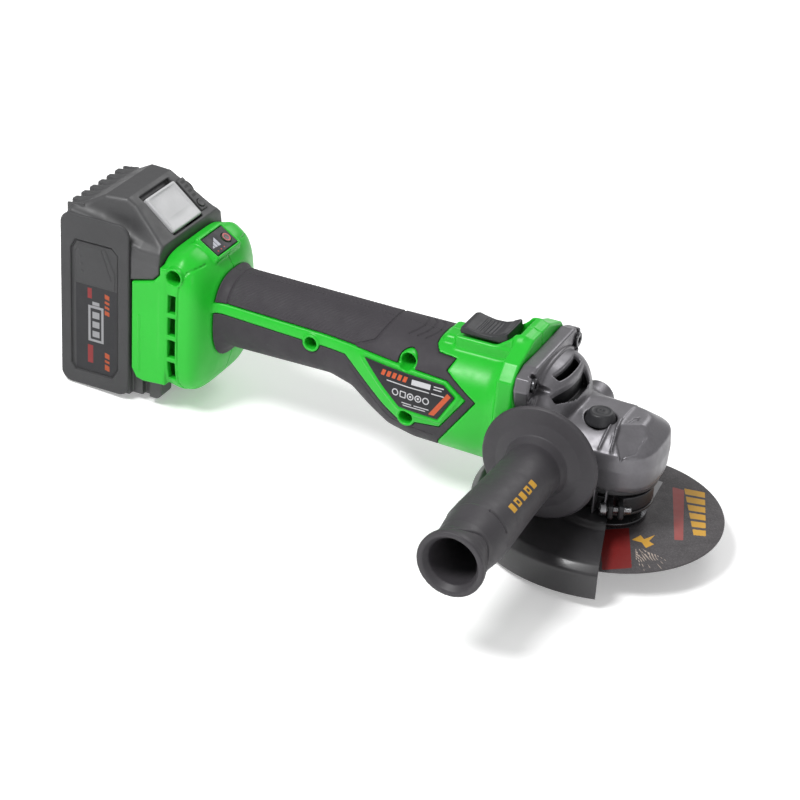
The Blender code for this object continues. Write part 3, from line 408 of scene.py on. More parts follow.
def air_outlets(p):
    """The two curved slots across the dome, each (place along X, bow, start, end)."""
    x, y, z = p.T
    slots = []
    for place, bow, start, end in AIR_OUTLETS:
        middle = place - bow * np.abs(y / start) ** 2.6
        slots.append(blend_max((np.abs(x - middle) - 1.9) * 0.85,
                               np.abs(y - (start + end) / 2) - (end - start) / 2, 1.4))
    return np.maximum(np.minimum(*slots), 71.5 - z)


def gear_case(p):
    x, y, z = p.T
    plate = raised(near_outline(y, z, PLATE_OUTLINE), x, PLATE_BACK, PLATE_FACE, 1.2)
    neck = np.maximum(NECK(p), np.maximum(CASE_INSIDE - x, x - 2.0))
    nose = blend_max(NOSE(p), np.maximum(34.7 - z, z - 67.0), 1.6)
    dome = fan_dome(p)
    cover = np.maximum(np.maximum(dome, CASE_INSIDE - x), 40.0 - z)
    body = blend_min(plate, neck, 2.5)
    body = blend_min(body, nose, 3.0)
    body = blend_min(body, cover, 1.5)
    boss = near_rod(p, 1, (HANDLE_X, 0, HANDLE_Z), 10.0, -38.0, 38.0, 0.8)
    body = blend_min(body, boss, 2.5)
    # Thin rim along the dome's foot, and the casting's parting rib
    rim = np.abs((dome_section(y, z) ** 0.4 - 1) * 34.0 - 0.6) - 0.7
    body = blend_min(body, np.maximum(rim, np.abs(x + 39.6) - 1.6), 0.8)
    # Two thin fins beside the lock button, on the near slope of the roof
    for start, end in ((2.2, 5.4), (0.2, -1.2)):
        place = start + (end - start) * (y + 6.0) / -20.0
        fin = np.maximum(np.abs(x - place) - 0.5,
                         np.maximum(NOSE(p, -1.3), np.maximum(y + 5.0, -26.5 - y)))
        body = blend_min(body, np.maximum(fin, z - 67.9), 0.9)
    # Flat facet beside the fins
    facet = (x - 11.0) * 0.28 - (y + 15.0) * 0.50 + (z - 61.9) * 0.82
    body = carve(body, blend_max(-facet, near_outline(x, y, CASE_FACET), 0.6), 0.7)
    # Pockets round the screws
    for sy, sz in SCREWS:
        side, up = math.copysign(1, sy), math.copysign(1, sz - MOTOR_Z)
        corner = [(sy + side * 3.6, sz - up * 6.4), (sy + side * 0.6, sz + up * 5.0),
                  (sy - side * 6.6, sz - up * 4.6)]
        pocket = raised(near_outline(y, z, corner) - 1.8, x, -41.5, -10.0, 0.4)
        body = carve(body, pocket, 0.6)
        body = carve(body, near_rod(p, 0, (0, sy, sz), 2.4, -60.0, -35.0), 0.2)
    # Engraved direction arrow
    shaft, tip = (raised(near_outline(x, y, shape), z, 66.4, 70.0)
                  for shape in (ARROW_SHAFT, ARROW_TIP))
    body = carve(body, np.minimum(shaft, tip), 0.2)
    # Lock button's pocket and its bore
    lock = (*LOCK_XY, 0)
    body = carve(body, near_rod(p, 2, lock, 8.9, 59.3, 80.0), 0.8)
    body = carve(body, near_rod(p, 2, lock, 2.5, 40.0, 62.0), 0.2)
    body = carve(body, np.maximum(air_outlets(p), -5.0 - dome), 0.7)
    # Inside: fan duct, gear space, pinion tunnel and the needle bearing's seat
    duct = np.maximum(np.hypot(y, z - 56.0) - np.interp(x, [-43.0, -31.0], [28.4, 22.5]),
                      np.abs(x + 41.5) - 8.5)
    body = carve(body, duct, 0.5)
    spin = np.hypot(x, y)
    body = carve(body, raised(spin - 22.0, z, 20.0, 51.0), 0.4)
    body = carve(body, np.maximum(np.abs(z - 45.0) - 10.0,
                                  spin - np.interp(z, [51.0, 55.0], [22.0, 16.0])), 0.4)
    body = carve(body, raised(spin - 7.6, z, 45.0, 58.0), 0.2)
    tunnel = np.interp(x, [-36.0, -23.0, -13.8], [10.6, 10.2, 7.1])
    tunnel = np.maximum(np.hypot(y, z - MOTOR_Z) - tunnel, np.abs(x + 24.9) - 11.1)
    body = carve(body, tunnel, 0.4)
    sockets = np.maximum(np.hypot(x - HANDLE_X, z - HANDLE_Z) - 4.3, 24.0 - np.abs(y))
    return carve(body, sockets, 0.8)


def outlet_painted_shade(p):
    """Below zero on the walls and floors of the air outlets, which take near-black painted shade.
    """
    return np.maximum(air_outlets(p) - 0.7, fan_dome(p) + 1.6)


# ---------------------------------------------------------------- housing

BODY = Loft(0, [(-262.0, 0, 64.75, 36.4, 40.75, 5.0), (-251.0, 0, 64.75, 36.5, 43.75, 5.0),
                (-243.0, 0, 63.0, 36.0, 41.0, 4.4), (-238.5, 0, 63.0, 32.0, 36.0, 3.6),
                (-235.5, 0, 66.5, 24.0, 26.5, 2.6), (-231.0, 0, 69.45, 22.0, 22.25, 2.2),
                (-166.0, 0, 69.45, 21.8, 22.05, 2.1), (-151.0, 0, 67.25, 23.7, 23.75, 2.1),
                (-138.0, 0, 62.4, 27.0, 27.9, 2.15), (-126.0, 0, 58.8, 30.0, 30.8, 2.2),
                (-110.0, 0, 57.2, 32.0, 31.6, 2.3), (-66.0, 0, 56.75, 32.5, 31.75, 2.4),
                (-48.8, 0, 56.25, 36.0, 34.25, 3.2)], 1.5)
# Screw holes: place along X and Z, how far out the boss reaches, and its two radii
HOLES = [(-253.4, 95.8, 36.0, 4.4, 5.6), (-174.3, 71.3, 22.5, 3.6, 5.0),
         (-114.4, 78.1, 23.6, 4.2, 5.3), (-111.0, 47.6, 31.0, 4.0, 5.4)]
BAND = [(-240.0, 79.8), (-118.0, 75.8), (-89.5, 74.3), (-77.0, 67.2), (-91.0, 47.5),
        (-117.3, 44.3), (-152.8, 71.0), (-181.0, 71.6), (-240.0, 74.4)]
FRONT = [(-104.0, 112.0), (-104.0, 90.6), (-102.8, 86.8), (-99.0, 84.5), (-88.5, 84.2),
         (-91.0, 79.0), (-71.0, 67.5), (-93.0, 36.0), (-99.0, 20.0), (-99.0, 5.0), (-30.0, 5.0),
         (-30.0, 112.0)]
LABEL = [(-140.0, 74.0), (-90.4, 72.7), (-82.7, 67.8), (-91.7, 52.5), (-115.0, 53.4)]
CHEEK = [(-279.7, 33.0), (-276.6, 27.6), (-272.0, 26.4), (-258.0, 27.4), (-258.0, 100.0),
         (-261.9, 100.0), (-261.9, 95.5), (-266.0, 91.0), (-279.7, 87.3)]
DECK_SLOPE = [(-70.0, 84.0), (-70.0, 94.0), (-58.5, 102.4), (-54.0, 103.0), (-54.0, 84.0)]
FLANGE = [(0.0, 103.0), (11.0, 103.0), (30.0, 96.0), (37.0, 88.0), (38.0, 56.5), (37.0, 29.0),
          (31.0, 21.5), (0.0, 20.5), (-20.0, 20.5), (-20.0, 103.0)]
SEAM = [(-240.5, 101.5), (-246.5, 99.5), (-249.4, 95.0), (-250.2, 84.0), (-250.2, 30.0),
        (-247.0, 22.0)]
display_axes = sloped_axes((-245.3, 105.7), math.radians(32.4))


def windows(x, z):
    """Flat distance to the areas of the side that stay green."""
    return any_of(near_outline(x, z, BAND), near_outline(x, z, FRONT), x + 235.2)


def housing_half(side):
    def field(p):
        x, y, z = p.T
        out = y * side
        form = BODY(p)
        ends = np.abs(x + 155.1) - 106.8
        skin = blend_max(form + RUBBER, ends, 1.0)
        window = windows(x, z)
        rim = 0.9 * ridge(near_outline(x, z, LABEL) - 1.7, 1.0, 1.6) * (out > 0)
        shown = blend_max(blend_max(form - rim, ends, 1.0), window, 0.8)
        body = np.minimum(skin, shown)
        # Cheeks that reach back beside the battery
        cheek = raised(near_outline(x, z, CHEEK), out, 31.2, 36.4, 1.0)
        rail = near_box(np.stack([x, out, z], 1), (-275.6, 35.0, 32.0), (-274.2, 36.9, 68.0), 0.5)
        body = blend_min(body, np.minimum(cheek, rail), 1.2)
        # Deck round the switch, and the tongue behind it
        deck = near_box(p, (-93.0, -13.6, 80.0), (-50.0, 13.6, 94.6), 1.6)
        tongue = near_box(p, (-101.5, -10.5, 80.0), (-80.0, 10.5, 92.0), 3.0)
        slope = raised(near_outline(x, z, DECK_SLOPE), y, -12.6, 12.6, 1.0)
        body = blend_min(body, blend_min(blend_min(deck, tongue, 2.0), slope, 1.5), 2.0)
        # Flange at the gear case
        flange = raised(near_outline(out, z, FLANGE), x, -58.0, -48.3, 1.4)
        body = blend_min(body, flange, 5.0)
        # Channel that the switch slides in, with ribs ahead of the switch
        channel = near_box(p, (-95.0, -11.0, 92.8), (-56.6, 11.0, 110.0), 0.6)
        body = carve(body, channel, 0.6)
        ribs = np.maximum(fold(x + 62.0, 2.4) - 0.55,
                          near_box(p, (-66.0, -11.0, 90.0), (-56.6, 11.0, 94.4)))
        body = blend_min(body, ribs, 0.4)
        # Display frame
        q = display_axes(p)
        body = blend_min(body, near_box(q, (-9.2, -13.9, -8.0), (8.6, 13.9, 1.6), 1.6), 1.6)
        body = carve(body, near_box(q, (-6.8, -11.8, 0.0), (6.8, 11.8, 9.0), 0.5), 0.5)
        # Seam that runs down the dock's side
        seam = np.maximum(near_line(x, z, SEAM) - 0.45, -0.7 - form)
        body = carve(body, np.maximum(seam, 20.0 - np.abs(y)), 0.3)
        # Cooling slots
        row = fold(z - 37.6 + 6.95, 13.9) - 5.6
        slot = np.maximum(np.maximum(row, np.abs(z - 58.45) - 27.0),
                          np.maximum(np.abs(x + 254.1) - 2.5, 30.0 - np.abs(y)))
        body = carve(body, slot, 0.4)
        # Screw bosses: round rims on the left, plain pads on the right
        for hx, hz, reach, bore, outer in HOLES:
            away = np.hypot(x - hx, z - hz)
            if side < 0:
                boss = raised(away - outer, -y, 0.0, reach, 0.5)
                body = blend_min(body, boss, 0.8)
                body = carve(body, np.maximum(away - bore, 10.0 + y), 0.6)
                body = carve(body, np.maximum(away - 1.9, 4.0 + y), 0.2)
            else:
                boss = raised(away - outer + 1.0, y, 0.0, 14.0, 0.5)
                body = np.minimum(body, np.maximum(boss, form + RUBBER))
        hollow = np.maximum(BODY(p, RUBBER + 2.2), np.abs(x + 152.7) - 106.8)
        for index, (hx, hz, _, _, outer) in enumerate(HOLES):
            wall = outer if index else 6.5
            hollow = np.maximum(hollow, wall - np.hypot(x - hx, z - hz))
        body = carve(body, hollow, 0.4)
        body = carve(body, near_box(p, (-82.5, -3.0, 78.0), (-65.5, 3.0, 99.0)), 0.3)
        return np.maximum(body, SPLIT - out)
    return field


PANEL = [(-228.0, 99.0), (-228.0, 79.6), (-148.0, 77.6), (-136.5, 82.6), (-128.0, 99.0)]


def grip_rubber(side):
    def field(p):
        x, y, z = p.T
        form = BODY(p)
        window = windows(x, z) - 0.35
        # Fine slanted ribs in a panel with a thin outline
        panel = near_outline(x, z, PANEL)
        ribs = fold(x + 0.8 * np.abs(y) - 0.5 * z, 2.6) / 1.3
        form = form + np.where(panel < -1.2, 0.42 * ribs, 0.0)
        form = form + 0.75 * ridge(panel, 1.3, 0.6)
        for place in (-116.0, -111.0, -106.0):
            arc = np.abs(np.hypot(x - place + 12.0, y * 0.8) - 12.0)
            arc = np.where((z > 78.0) & (x > place - 4.5), arc, 9.0)
            form = form + 0.7 * ridge(arc, 1.2, 0.7)
        lower = near_line(x, z, [(-150.0, 66.0), (-121.0, 42.5), (-95.0, 40.5)])
        form = form + 0.45 * ridge(lower, 1.0, 0.5)
        skin = blend_max(form, -(BODY(p) + RUBBER - 0.15), 0.4)
        skin = blend_max(skin, np.maximum(-234.8 - x, x + 62.0), 0.6)
        skin = blend_max(skin, -window, 0.7)
        if side < 0:
            for hx, hz, _, _, outer in HOLES[1:]:
                skin = carve(skin, np.hypot(x - hx, z - hz) - outer - 0.35, 0.5)
        return np.maximum(skin, SPLIT - y * side)
    return field


# ---------------------------------------------------------------- battery pack

PACK_BACK, PACK_BOTTOM, PACK_SIDE = -325.9, 13.3, 37.0
COVER_FRONT, COVER_TOP = -281.3, 119.8
TUB = [(-324.6, -34.4), (-281.8, -34.4), (-281.8, -30.8), (-263.4, -30.8), (-263.4, 30.8),
       (-281.8, 30.8), (-281.8, 34.4), (-324.6, 34.4)]
ROOF = [(-324.6, 100.3), (-324.6, 116.0), (-320.5, 120.2), (-303.0, 117.5), (-288.0, 111.4),
        (-276.0, 107.5), (-263.4, 106.5), (-263.4, 100.3)]
HUMP = [(-323.2, 108.0), (-320.0, 121.0), (-303.0, 130.6), (-290.0, 130.8), (-284.0, 127.4),
        (-263.4, 110.4), (-263.4, 101.0), (-300.0, 101.0)]
FLANK = [(-281.4, 87.6), (-266.4, 91.3), (-262.3, 95.6), (-262.3, 105.6), (-266.0, 107.5),
         (-281.4, 113.5)]
ROOF_INSIDE = [(-322.6, 95.0), (-322.6, 110.4), (-302.0, 126.6), (-292.0, 127.0),
               (-283.6, 121.6), (-266.0, 106.8), (-266.0, 95.0)]
BUTTON_STEM = [(-274.5, 103.6), (-263.8, 103.6), (-263.8, 105.6), (-269.5, 105.8),
               (-269.5, 113.0), (-274.5, 117.5)]
LABEL_BED = [(-319.0, 99.0), (-316.0, 104.6), (-292.6, 104.6), (-288.2, 100.4), (-288.2, 28.0),
             (-292.0, 22.0), (-316.0, 22.0), (-319.0, 26.0)]
LABEL_STEP = [(-316.6, 96.0), (-313.4, 102.0), (-297.0, 102.0), (-290.6, 88.0),
              (-290.6, 78.0), (-316.6, 78.0)]
button_axes = sloped_axes((-275.0, 119.6), math.radians(39.3))


def battery_case(p):
    x, y, z = p.T
    body = raised(near_outline(x, y, TUB), z, 13.7, 100.0, 1.0)
    # Soft chamfer under the nose, and moulded ribs across the back
    body = blend_max(body, (x + 263.4) * 0.7 - (z - 19.0) * 0.7 - 2.0, 1.0)
    rows = np.maximum(np.maximum(fold(z - 30.0, 12.0) - 2.2, -323.9 - x), np.abs(y) - 27.0)
    body = carve(body, np.maximum(rows, np.maximum(x + 300, np.abs(z - 57) - 33)), 0.6)
    body = carve(body, near_box(p, (-322.6, -32.6, 15.8), (-284.4, 32.6, 110.0)), 0.3)
    body = carve(body, near_box(p, (-285.0, -26.0, 15.8), (-272.6, 26.0, 110.0)), 0.3)
    body = carve(body, near_box(p, (-270.4, -18.6, 5.0), (-255.0, 18.6, 80.0)), 0.4)
    grooves = np.maximum(np.abs(x + 273.2) - 2.3, 27.4 - np.abs(y))
    return carve(body, grooves, 0.4)


def battery_top(p):
    x, y, z = p.T
    body = raised(near_outline(x, z, ROOF), y, -34.2, 34.2, 1.6)
    width = np.interp(x, [-322.0, -300.0, -285.0, -263.0], [29.0, 27.5, 25.5, 28.5])
    over = np.abs(y) - (width + (124.0 - z) * 0.22)
    body = blend_min(body, blend_max(near_outline(x, z, HUMP), over, 3.0), 7.0)
    body = np.maximum(body, 100.3 - z)
    # Flanks that run down to the dock's edge
    flank = raised(near_outline(x, z, FLANK), np.abs(y), 31.6, 35.9, 1.6)
    lean = (np.abs(y) - 35.6) * 0.86 + (z - 101.5) * 0.5
    body = blend_min(body, blend_max(flank, lean, 2.0), 1.6)
    # Grip ribs along the back of the roof
    rib = np.maximum(fold(y + 31.5 + 4.5, 9.0) - 2.3, np.abs(y) - 30.0)
    rib = raised(rib, x, -325.6, -314.0, 1.0)
    rib = blend_max(rib, np.maximum(z - 122.8 - (x + 325.8) * 0.16, 106.0 - z), 1.4)
    body = blend_min(body, rib, 0.8)
    # Button's pocket, with the deep slot behind it
    q = button_axes(p)
    body = carve(body, near_box(q, (-12.6, -16.1, -7.0), (13.4, 16.1, 14.0), 1.0), 0.7)
    body = carve(body, near_box(q, (-15.4, -16.1, -3.4), (-10.0, 16.1, 14.0), 1.0), 0.9)
    # Gauge's shallow bed, the hollow inside and the button's way through the front wall
    body = carve(body, near_box(q, (-11.6, 17.2, 0.2), (11.6, 25.2, 9.0), 1.2), 0.5)
    body = carve(body, raised(near_outline(x, z, ROOF_INSIDE), y, -23.6, 23.6), 0.3)
    body = carve(body, near_box(p, (-322.6, -32.2, 95.0), (-284.4, 32.2, 109.2)), 0.3)
    body = carve(body, near_box(p, (-268.0, -6.6, 90.0), (-263.3, 6.6, 106.0)), 0.3)
    return blend_max(body, x + 262.6, 0.8)


def release_button(p):
    q = button_axes(p)
    slab = near_box(q, (-12.2, -15.4, -2.6), (12.2, 15.4, 1.8), 1.0)
    lean = -0.9 * np.clip((q[:, 0] - 4.0) / 8.0, 0, 1)
    dish = near_box(q, (-10.4, -13.6, 0.9), (10.6, 13.6, 6.0), 0.6)
    bowl = np.sqrt((q[:, 0] + 1.0) ** 2 + (q[:, 1] * 0.5) ** 2 + (q[:, 2] - 30.6) ** 2) - 30.4
    body = carve(slab, blend_max(dish + lean, bowl - 0.6, 1.0), 0.9)
    x, y, z = p.T
    return np.minimum(body, raised(near_outline(x, z, BUTTON_STEM), y, -6.0, 6.0, 0.4))


def side_cover(side):
    """Round-cornered plate with a sunken panel, a label bed and moulded marks."""
    def field(p):
        x, y, z = p.T
        depth = y * side
        flat = raised(np.abs(x - (PACK_BACK + COVER_FRONT) / 2) - (COVER_FRONT - PACK_BACK) / 2,
                      z, PACK_BOTTOM, COVER_TOP, 7.0)
        body = raised(flat, depth, 34.7, PACK_SIDE, 1.1)
        bed = near_outline(x, z, LABEL_BED)
        body = carve(body, raised(bed, depth, 36.0, 40.0, 0.3), 0.9)
        body = carve(body, raised(np.abs(bed + 0.5) - 0.5, depth, 35.5, 40.0, 0.1), 0.3)
        step = near_outline(x, z, LABEL_STEP)
        body = blend_min(body, raised(step, depth, 35.4, 36.5, 0.3), 0.4)
        for k in range(4):
            dot = np.hypot(x + 313.4 - 0.5 * k, z - 99.0 + 4.4 * k) - 0.75
            body = blend_min(body, raised(dot, depth, 35.5, 36.85, 0.2), 0.3)
        slash = near_line(x, z, [(-299.0, 101.0), (-292.6, 84.0)]) - 0.4
        return carve(body, raised(slash, depth, 36.15, 40.0), 0.2)
    return field


# ---------------------------------------------------------------- handle, guard and disc

HANDLE_END, HANDLE_LINE = -160.3, -128.5
HANDLE_PROFILE = [
    (0.0, -38.4), (11.3, -38.4), (12.6, -41.2), (31.4, -44.6), (32.8, -46.0), (31.6, -47.8),
    (24.0, -48.9), (18.0, -51.4), (15.9, -56.5), (15.7, -66.0), (16.0, -84.0), (17.3, -118.0),
    (17.3, HANDLE_LINE), (15.6, -143.0), (15.9, -150.0), (17.9, -157.0), (18.0, HANDLE_END),
    (15.4, HANDLE_END), (12.9, -156.6), (12.4, -118.2), (0.0, -118.2)]
GUARD_START, GUARD_SWEEP = math.radians(106.0), math.radians(180.0)
GUARD_PROFILE = [
    (22.0, 17.55), (33.2, 17.55), (36.6, 15.1), (70.6, 15.1), (74.2, 11.6), (74.2, -1.9),
    (74.5, -2.2), (75.7, -2.2), (76.0, -1.9), (76.0, 12.2), (71.6, 16.7), (38.0, 16.7),
    (34.6, 19.2), (22.0, 19.2)]
CLAMP_TURN = GUARD_START + GUARD_SWEEP + math.radians(8)
CLAMP_BOLT = (26.8, 23.8)           # distance out from the spindle, and height


def handle_polar(p):
    """Distance from the handle's axis, and the turn about it in degrees."""
    dx, dz = p[:, 0] - HANDLE_X, p[:, 2] - HANDLE_Z
    return np.hypot(dx, dz), np.degrees(np.arctan2(dz, dx))


def handle_field(p):
    y = p[:, 1]
    radius, turn = handle_polar(p)
    body = near_outline(radius, y, HANDLE_PROFILE)
    body = blend_max(body, HANDLE_END - y, 0.9)
    # Flat raised panels along the barrel, a line cut at their ends and a wavy groove
    lobe = 0.5 * np.cos(np.radians(3 * (turn - 46.0)))
    barrel = np.clip((-58.0 - y) / 8.0, 0, 1) * np.clip(y - HANDLE_LINE, 0, 1)
    body = body - lobe * barrel * 0.7
    cut_line = np.maximum(np.abs(y - HANDLE_LINE) - 0.45, fold(turn - 46.0 + 60, 120) - 24.0)
    wave = y + 149.7 - 3.9 * np.cos(np.radians(3 * (turn - 42.0)))
    outside = radius > 14.4
    body = body + 0.85 * ridge(wave, 1.3, 0.6) * outside
    body = body + 0.9 * (cut_line < 0) * outside
    # Bore for the stud and its hexagon
    bore = np.where(np.abs(y + 75.0) < 17.0, 6.8, 4.3)
    return np.maximum(body, np.where(y < -36.0, bore - radius, -9.0))


def clamp_axes(p):
    """Places out towards the clamp's gap, across it and up."""
    c, s = math.cos(CLAMP_TURN), math.sin(CLAMP_TURN)
    return p[:, 0] * c + p[:, 1] * s, p[:, 1] * c - p[:, 0] * s, p[:, 2]


def clamp_field(p):
    """The band round the collar, with its two lugs."""
    out, across, z = clamp_axes(p)
    ring = raised(np.abs(np.hypot(p[:, 0], p[:, 1]) - 21.3) - 1.1, z, 19.5, 28.0, 0.3)
    lugs = near_box(np.stack([out, np.abs(across), 0 * z], 1), (21.0, 1.2, -9), (31.0, 4.4, 9),
                    1.2)
    gap = np.maximum(np.abs(across) - 0.9, np.maximum(18.0 - out, out - 26.0))
    body = carve(blend_min(ring, raised(lugs, z, 19.7, 27.8, 1.2), 1.2), gap, 0.3)
    return carve(body, np.hypot(out - CLAMP_BOLT[0], z - CLAMP_BOLT[1]) - 2.3, 0.3)


def clamp_bolt_field(p):
    out, across, z = clamp_axes(p)
    du, dv = out - CLAMP_BOLT[0], z - CLAMP_BOLT[1]
    away = np.hypot(du, dv)
    thread = 0.12 * np.sin(math.tau * across / 0.8)
    head = raised(away - 3.6, across, -8.4, -4.8, 0.5)
    shank = raised(away - 1.9 + thread, across, -5.0, 8.4, 0.4)
    socket = raised(near_hexagon(du, dv, 1.5), across, -9.0, -6.4, 0.1)
    return carve(np.minimum(head, shank), socket, 0.2)


def make_guard():
    """The half guard's pressed shell and its collar."""
    collar = [(20.2, 17.5), (22.8, 17.5), (22.8, 19.1), (20.2, 19.1)]
    return (turned("guard_pressing", rounded(GUARD_PROFILE, 1.6, 4), start=GUARD_START,
                   sweep=GUARD_SWEEP),
            turned("guard_collar", rounded(collar, 0.5)))


def make_disc():
    rings = [11.1, 11.3] + [float(r) for r in np.arange(12.0, 62.1, 0.5)] + [62.3]
    profile = [(r, 6.5) for r in rings] + [(62.5, 6.7), (62.5, 7.3)]
    return turned("abrasive_disc", profile + [(r, 7.5) for r in reversed(rings)], segments=480)


def make_washer():
    profile = [(7.3, 6.95), (10.7, 6.95), (10.7, 7.8), (19.0, 7.8), (20.4, 9.0), (20.4, 10.6),
               (12.0, 13.7), (7.3, 13.7)]
    return turned("disc_flange", rounded(profile, 0.5))


def nut_field(p):
    x, y, z = p.T
    radius = np.hypot(x, y)
    body = raised(np.maximum(radius - 20.0, 7.3 - radius), z, 2.2, 6.2, 0.6)
    body = blend_min(body, raised(np.maximum(radius - 13.2, 7.3 - radius), z, 1.4, 4.0, 0.5), 0.4)
    for k in range(4):
        angle = math.tau * (k + 0.5) / 4
        pin = np.hypot(x - 16.5 * math.cos(angle), y - 16.5 * math.sin(angle)) - 2.2
        body = carve(body, np.maximum(pin, z - 4.6), 0.4)
    return body


THREAD_TOP = 13.6


def spindle_field(p):
    x, y, z = p.T
    radius = np.hypot(x, y)
    profile = [(-1.0, 0.0), (6.2, 0.0), (7.0, 0.8), (7.0, 14.0), (7.8, 14.0), (7.8, 40.6),
               (5.7, 40.6), (5.7, 50.8), (5.0, 50.8), (5.0, 57.0), (-1.0, 57.0)]
    body = near_outline(radius, z, profile)
    twist = fold(z / 2.0 - np.arctan2(y, x) / math.tau, 1.0)
    thread = 1.1 * twist * 2 * np.clip((THREAD_TOP - z) / 0.6, 0, 1) * np.clip(z - 0.2, 0, 1)
    body = np.maximum(body, radius - 7.0 + thread - 20.0 * (z > THREAD_TOP))
    return carve(body, raised(near_hexagon(x, y, 2.4), z, -2.0, 5.0, 0.2), 0.3)


def make_cap():
    profile = [(8.6, 15.0), (18.8, 15.0), (19.8, 16.0), (19.8, 30.6), (24.0, 30.6), (24.4, 31.2),
               (24.4, 34.4), (21.6, 34.4), (21.6, 39.2), (16.3, 39.2), (16.3, 29.9), (8.6, 29.9)]
    return turned("gear_cap", rounded(profile, 0.5))


def make_lock_button():
    profile = [(0.0, 50.6), (2.0, 50.6), (2.0, 65.0), (4.6, 65.0), (4.6, 62.7), (6.2, 62.7),
               (6.2, 64.8), (8.5, 64.8), (8.5, 66.0), (7.6, 68.4), (6.6, 71.0), (5.2, 71.4),
               (4.5, 71.1), (3.2, 71.1), (2.6, 71.4), (1.5, 71.4), (1.0, 70.9), (0.0, 70.9)]
    return turned("lock_key", rounded(profile, 0.7, 4), (*LOCK_XY, 0), 64)


def make_lock_spring():
    """A coil of round wire between the pocket's floor and the lock button."""
    wire_radius, coil_radius, low, high, turns, segments = 0.45, 3.3, 59.6, 64.7, 3, 144
    section = [(coil_radius + wire_radius * math.cos(a), wire_radius * math.sin(a))
               for a in (math.tau * k / 12 for k in range(12))]

    def rise(points):
        share = (np.arange(len(points)) % (segments + 1)) / segments
        points[:, 2] += low + wire_radius + share * (high - low - 2 * wire_radius)
        return points
    return turned("lock_coil", section, (*LOCK_XY, 0), segments, bend=rise,
                  sweep=turns * math.tau)


def switch_field(p):
    x, y, z = p.T
    knob = [(-91.0, 95.0), (-64.0, 95.0), (-63.4, 97.0), (-63.9, 101.6), (-65.4, 102.7),
            (-67.6, 102.2), (-69.4, 99.6), (-73.0, 98.3), (-79.0, 98.0), (-85.5, 99.0),
            (-88.6, 99.7), (-91.0, 98.9), (-91.6, 96.6)]
    body = raised(near_outline(x, z, knob), y, -10.5, 10.5, 0.9)
    hollow = np.sqrt((x + 77.5) ** 2 + (0.55 * y) ** 2 + (z - 121.5) ** 2) - 23.6
    body = blend_max(body, -hollow, 1.4)
    ribs = 0.25 * np.cos(x * math.tau / 2.2) * np.clip(6.0 - np.abs(x + 78.0), 0, 1)
    return body + ribs * np.clip(8.0 - np.abs(y), 0, 1) * (z > 96.4)


def label_field(side):
    def field(p):
        x, y, z = p.T
        form = BODY(p)
        body = np.maximum(form - 0.8, 0.3 - form)
        body = blend_max(body, near_outline(x, z, LABEL), 0.3)
        return np.maximum(body, 5.0 - y * side)
    return field


SPEED_KEY, GAUGE_KEY = (0.8, 6.0), (7.0, 21.1)


def film_field(axes, low, high, key, hole, depth):
    """A thin film on a slope, with a hole for a key."""
    def field(p):
        q = axes(p)
        away = np.hypot(q[:, 0] - key[0], q[:, 1] - key[1])
        return carve(near_box(q, low, high, 0.3), np.maximum(away - hole, -depth - q[:, 2]), 0.25)
    return field


def key_field(axes, key, radius, low, high, bowl_height, bowl):
    """A round key with a dished face."""
    def field(p):
        q = axes(p)
        away = np.hypot(q[:, 0] - key[0], q[:, 1] - key[1])
        body = raised(away - radius, q[:, 2], low, high, 0.25)
        return carve(body, np.sqrt(away ** 2 + (q[:, 2] - bowl_height) ** 2) - bowl, 0.3)
    return field


def screw_field(axis, place, head, neck, tip, size):
    """A screw along one axis. Its socket faces away from its tip."""
    u, v = [i for i in range(3) if i != axis]
    sign = 1 if tip > head else -1
    low, mid, high = sign * head, sign * neck, sign * tip

    def field(p):
        du, dv, w = p[:, u] - place[0], p[:, v] - place[1], sign * p[:, axis]
        away = np.hypot(du, dv)
        body = raised(away - size, w, low, mid, 0.4)
        thread = 0.10 * np.sin(math.tau * w)
        body = np.minimum(body, raised(away - size * 0.44 + thread, w, mid - 0.5, high, 0.3))
        return carve(body, raised(near_star(du, dv, size * 0.45), w, low - 2.0, low + 1.4), 0.15)
    return field


def make_screws():
    made = []
    for index, (x, z, *_) in enumerate(HOLES):
        field = screw_field(1, (x, z), -8.9, -6.3, 11.0, 3.4)
        made.append(field_object(f"housing_bolt_{index + 1}", field, (x - 4, -9.5, z - 4),
                                 (x + 4, 11.5, z + 4), 0.3))
    for index, (y, z) in enumerate(SCREWS):
        field = screw_field(0, (y, z), -37.8, -41.2, -56.0, 4.2)
        made.append(field_object(f"case_bolt_{index + 1}", field, (-57, y - 5, z - 5),
                                 (-37, y + 5, z + 5), 0.35))
    return made


# ---------------------------------------------------------------- finishes

def wire(tree, kind, inputs=(), **settings):
    """A new shader node, with its settings made and its inputs set or joined."""
    made = tree.nodes.new(kind)
    for key, value in settings.items():
        setattr(made, key, value)
    for key, value in dict(inputs).items():
        if isinstance(value, bpy.types.NodeSocket):
            tree.links.new(value, made.inputs[key])
        else:
            made.inputs[key].default_value = value
    return made


def blend_colour(tree, factor, first, second):
    made = wire(tree, "ShaderNodeMix", {0: factor, 6: first, 7: second}, data_type="RGBA",
                clamp_factor=True)
    return made.outputs[2]


def spread(tree, value, low, high, out_low=0.0, out_high=1.0):
    made = wire(tree, "ShaderNodeMapRange", {"Value": value, "From Min": low, "From Max": high,
                                             "To Min": out_low, "To Max": out_high})
    return made.outputs[0]


def reckon(tree, operation, first, second):
    made = wire(tree, "ShaderNodeMath", {0: first, 1: second}, operation=operation)
    return made.outputs[0]


def bumped(tree, height, distance, strength, **below):
    made = wire(tree, "ShaderNodeBump", {"Height": height, "Distance": distance,
                                         "Strength": strength, **below})
    return made.outputs[0]


def shade(colour, amount):
    return tuple(min(c * amount, 1.0) for c in colour) + (1.0,)


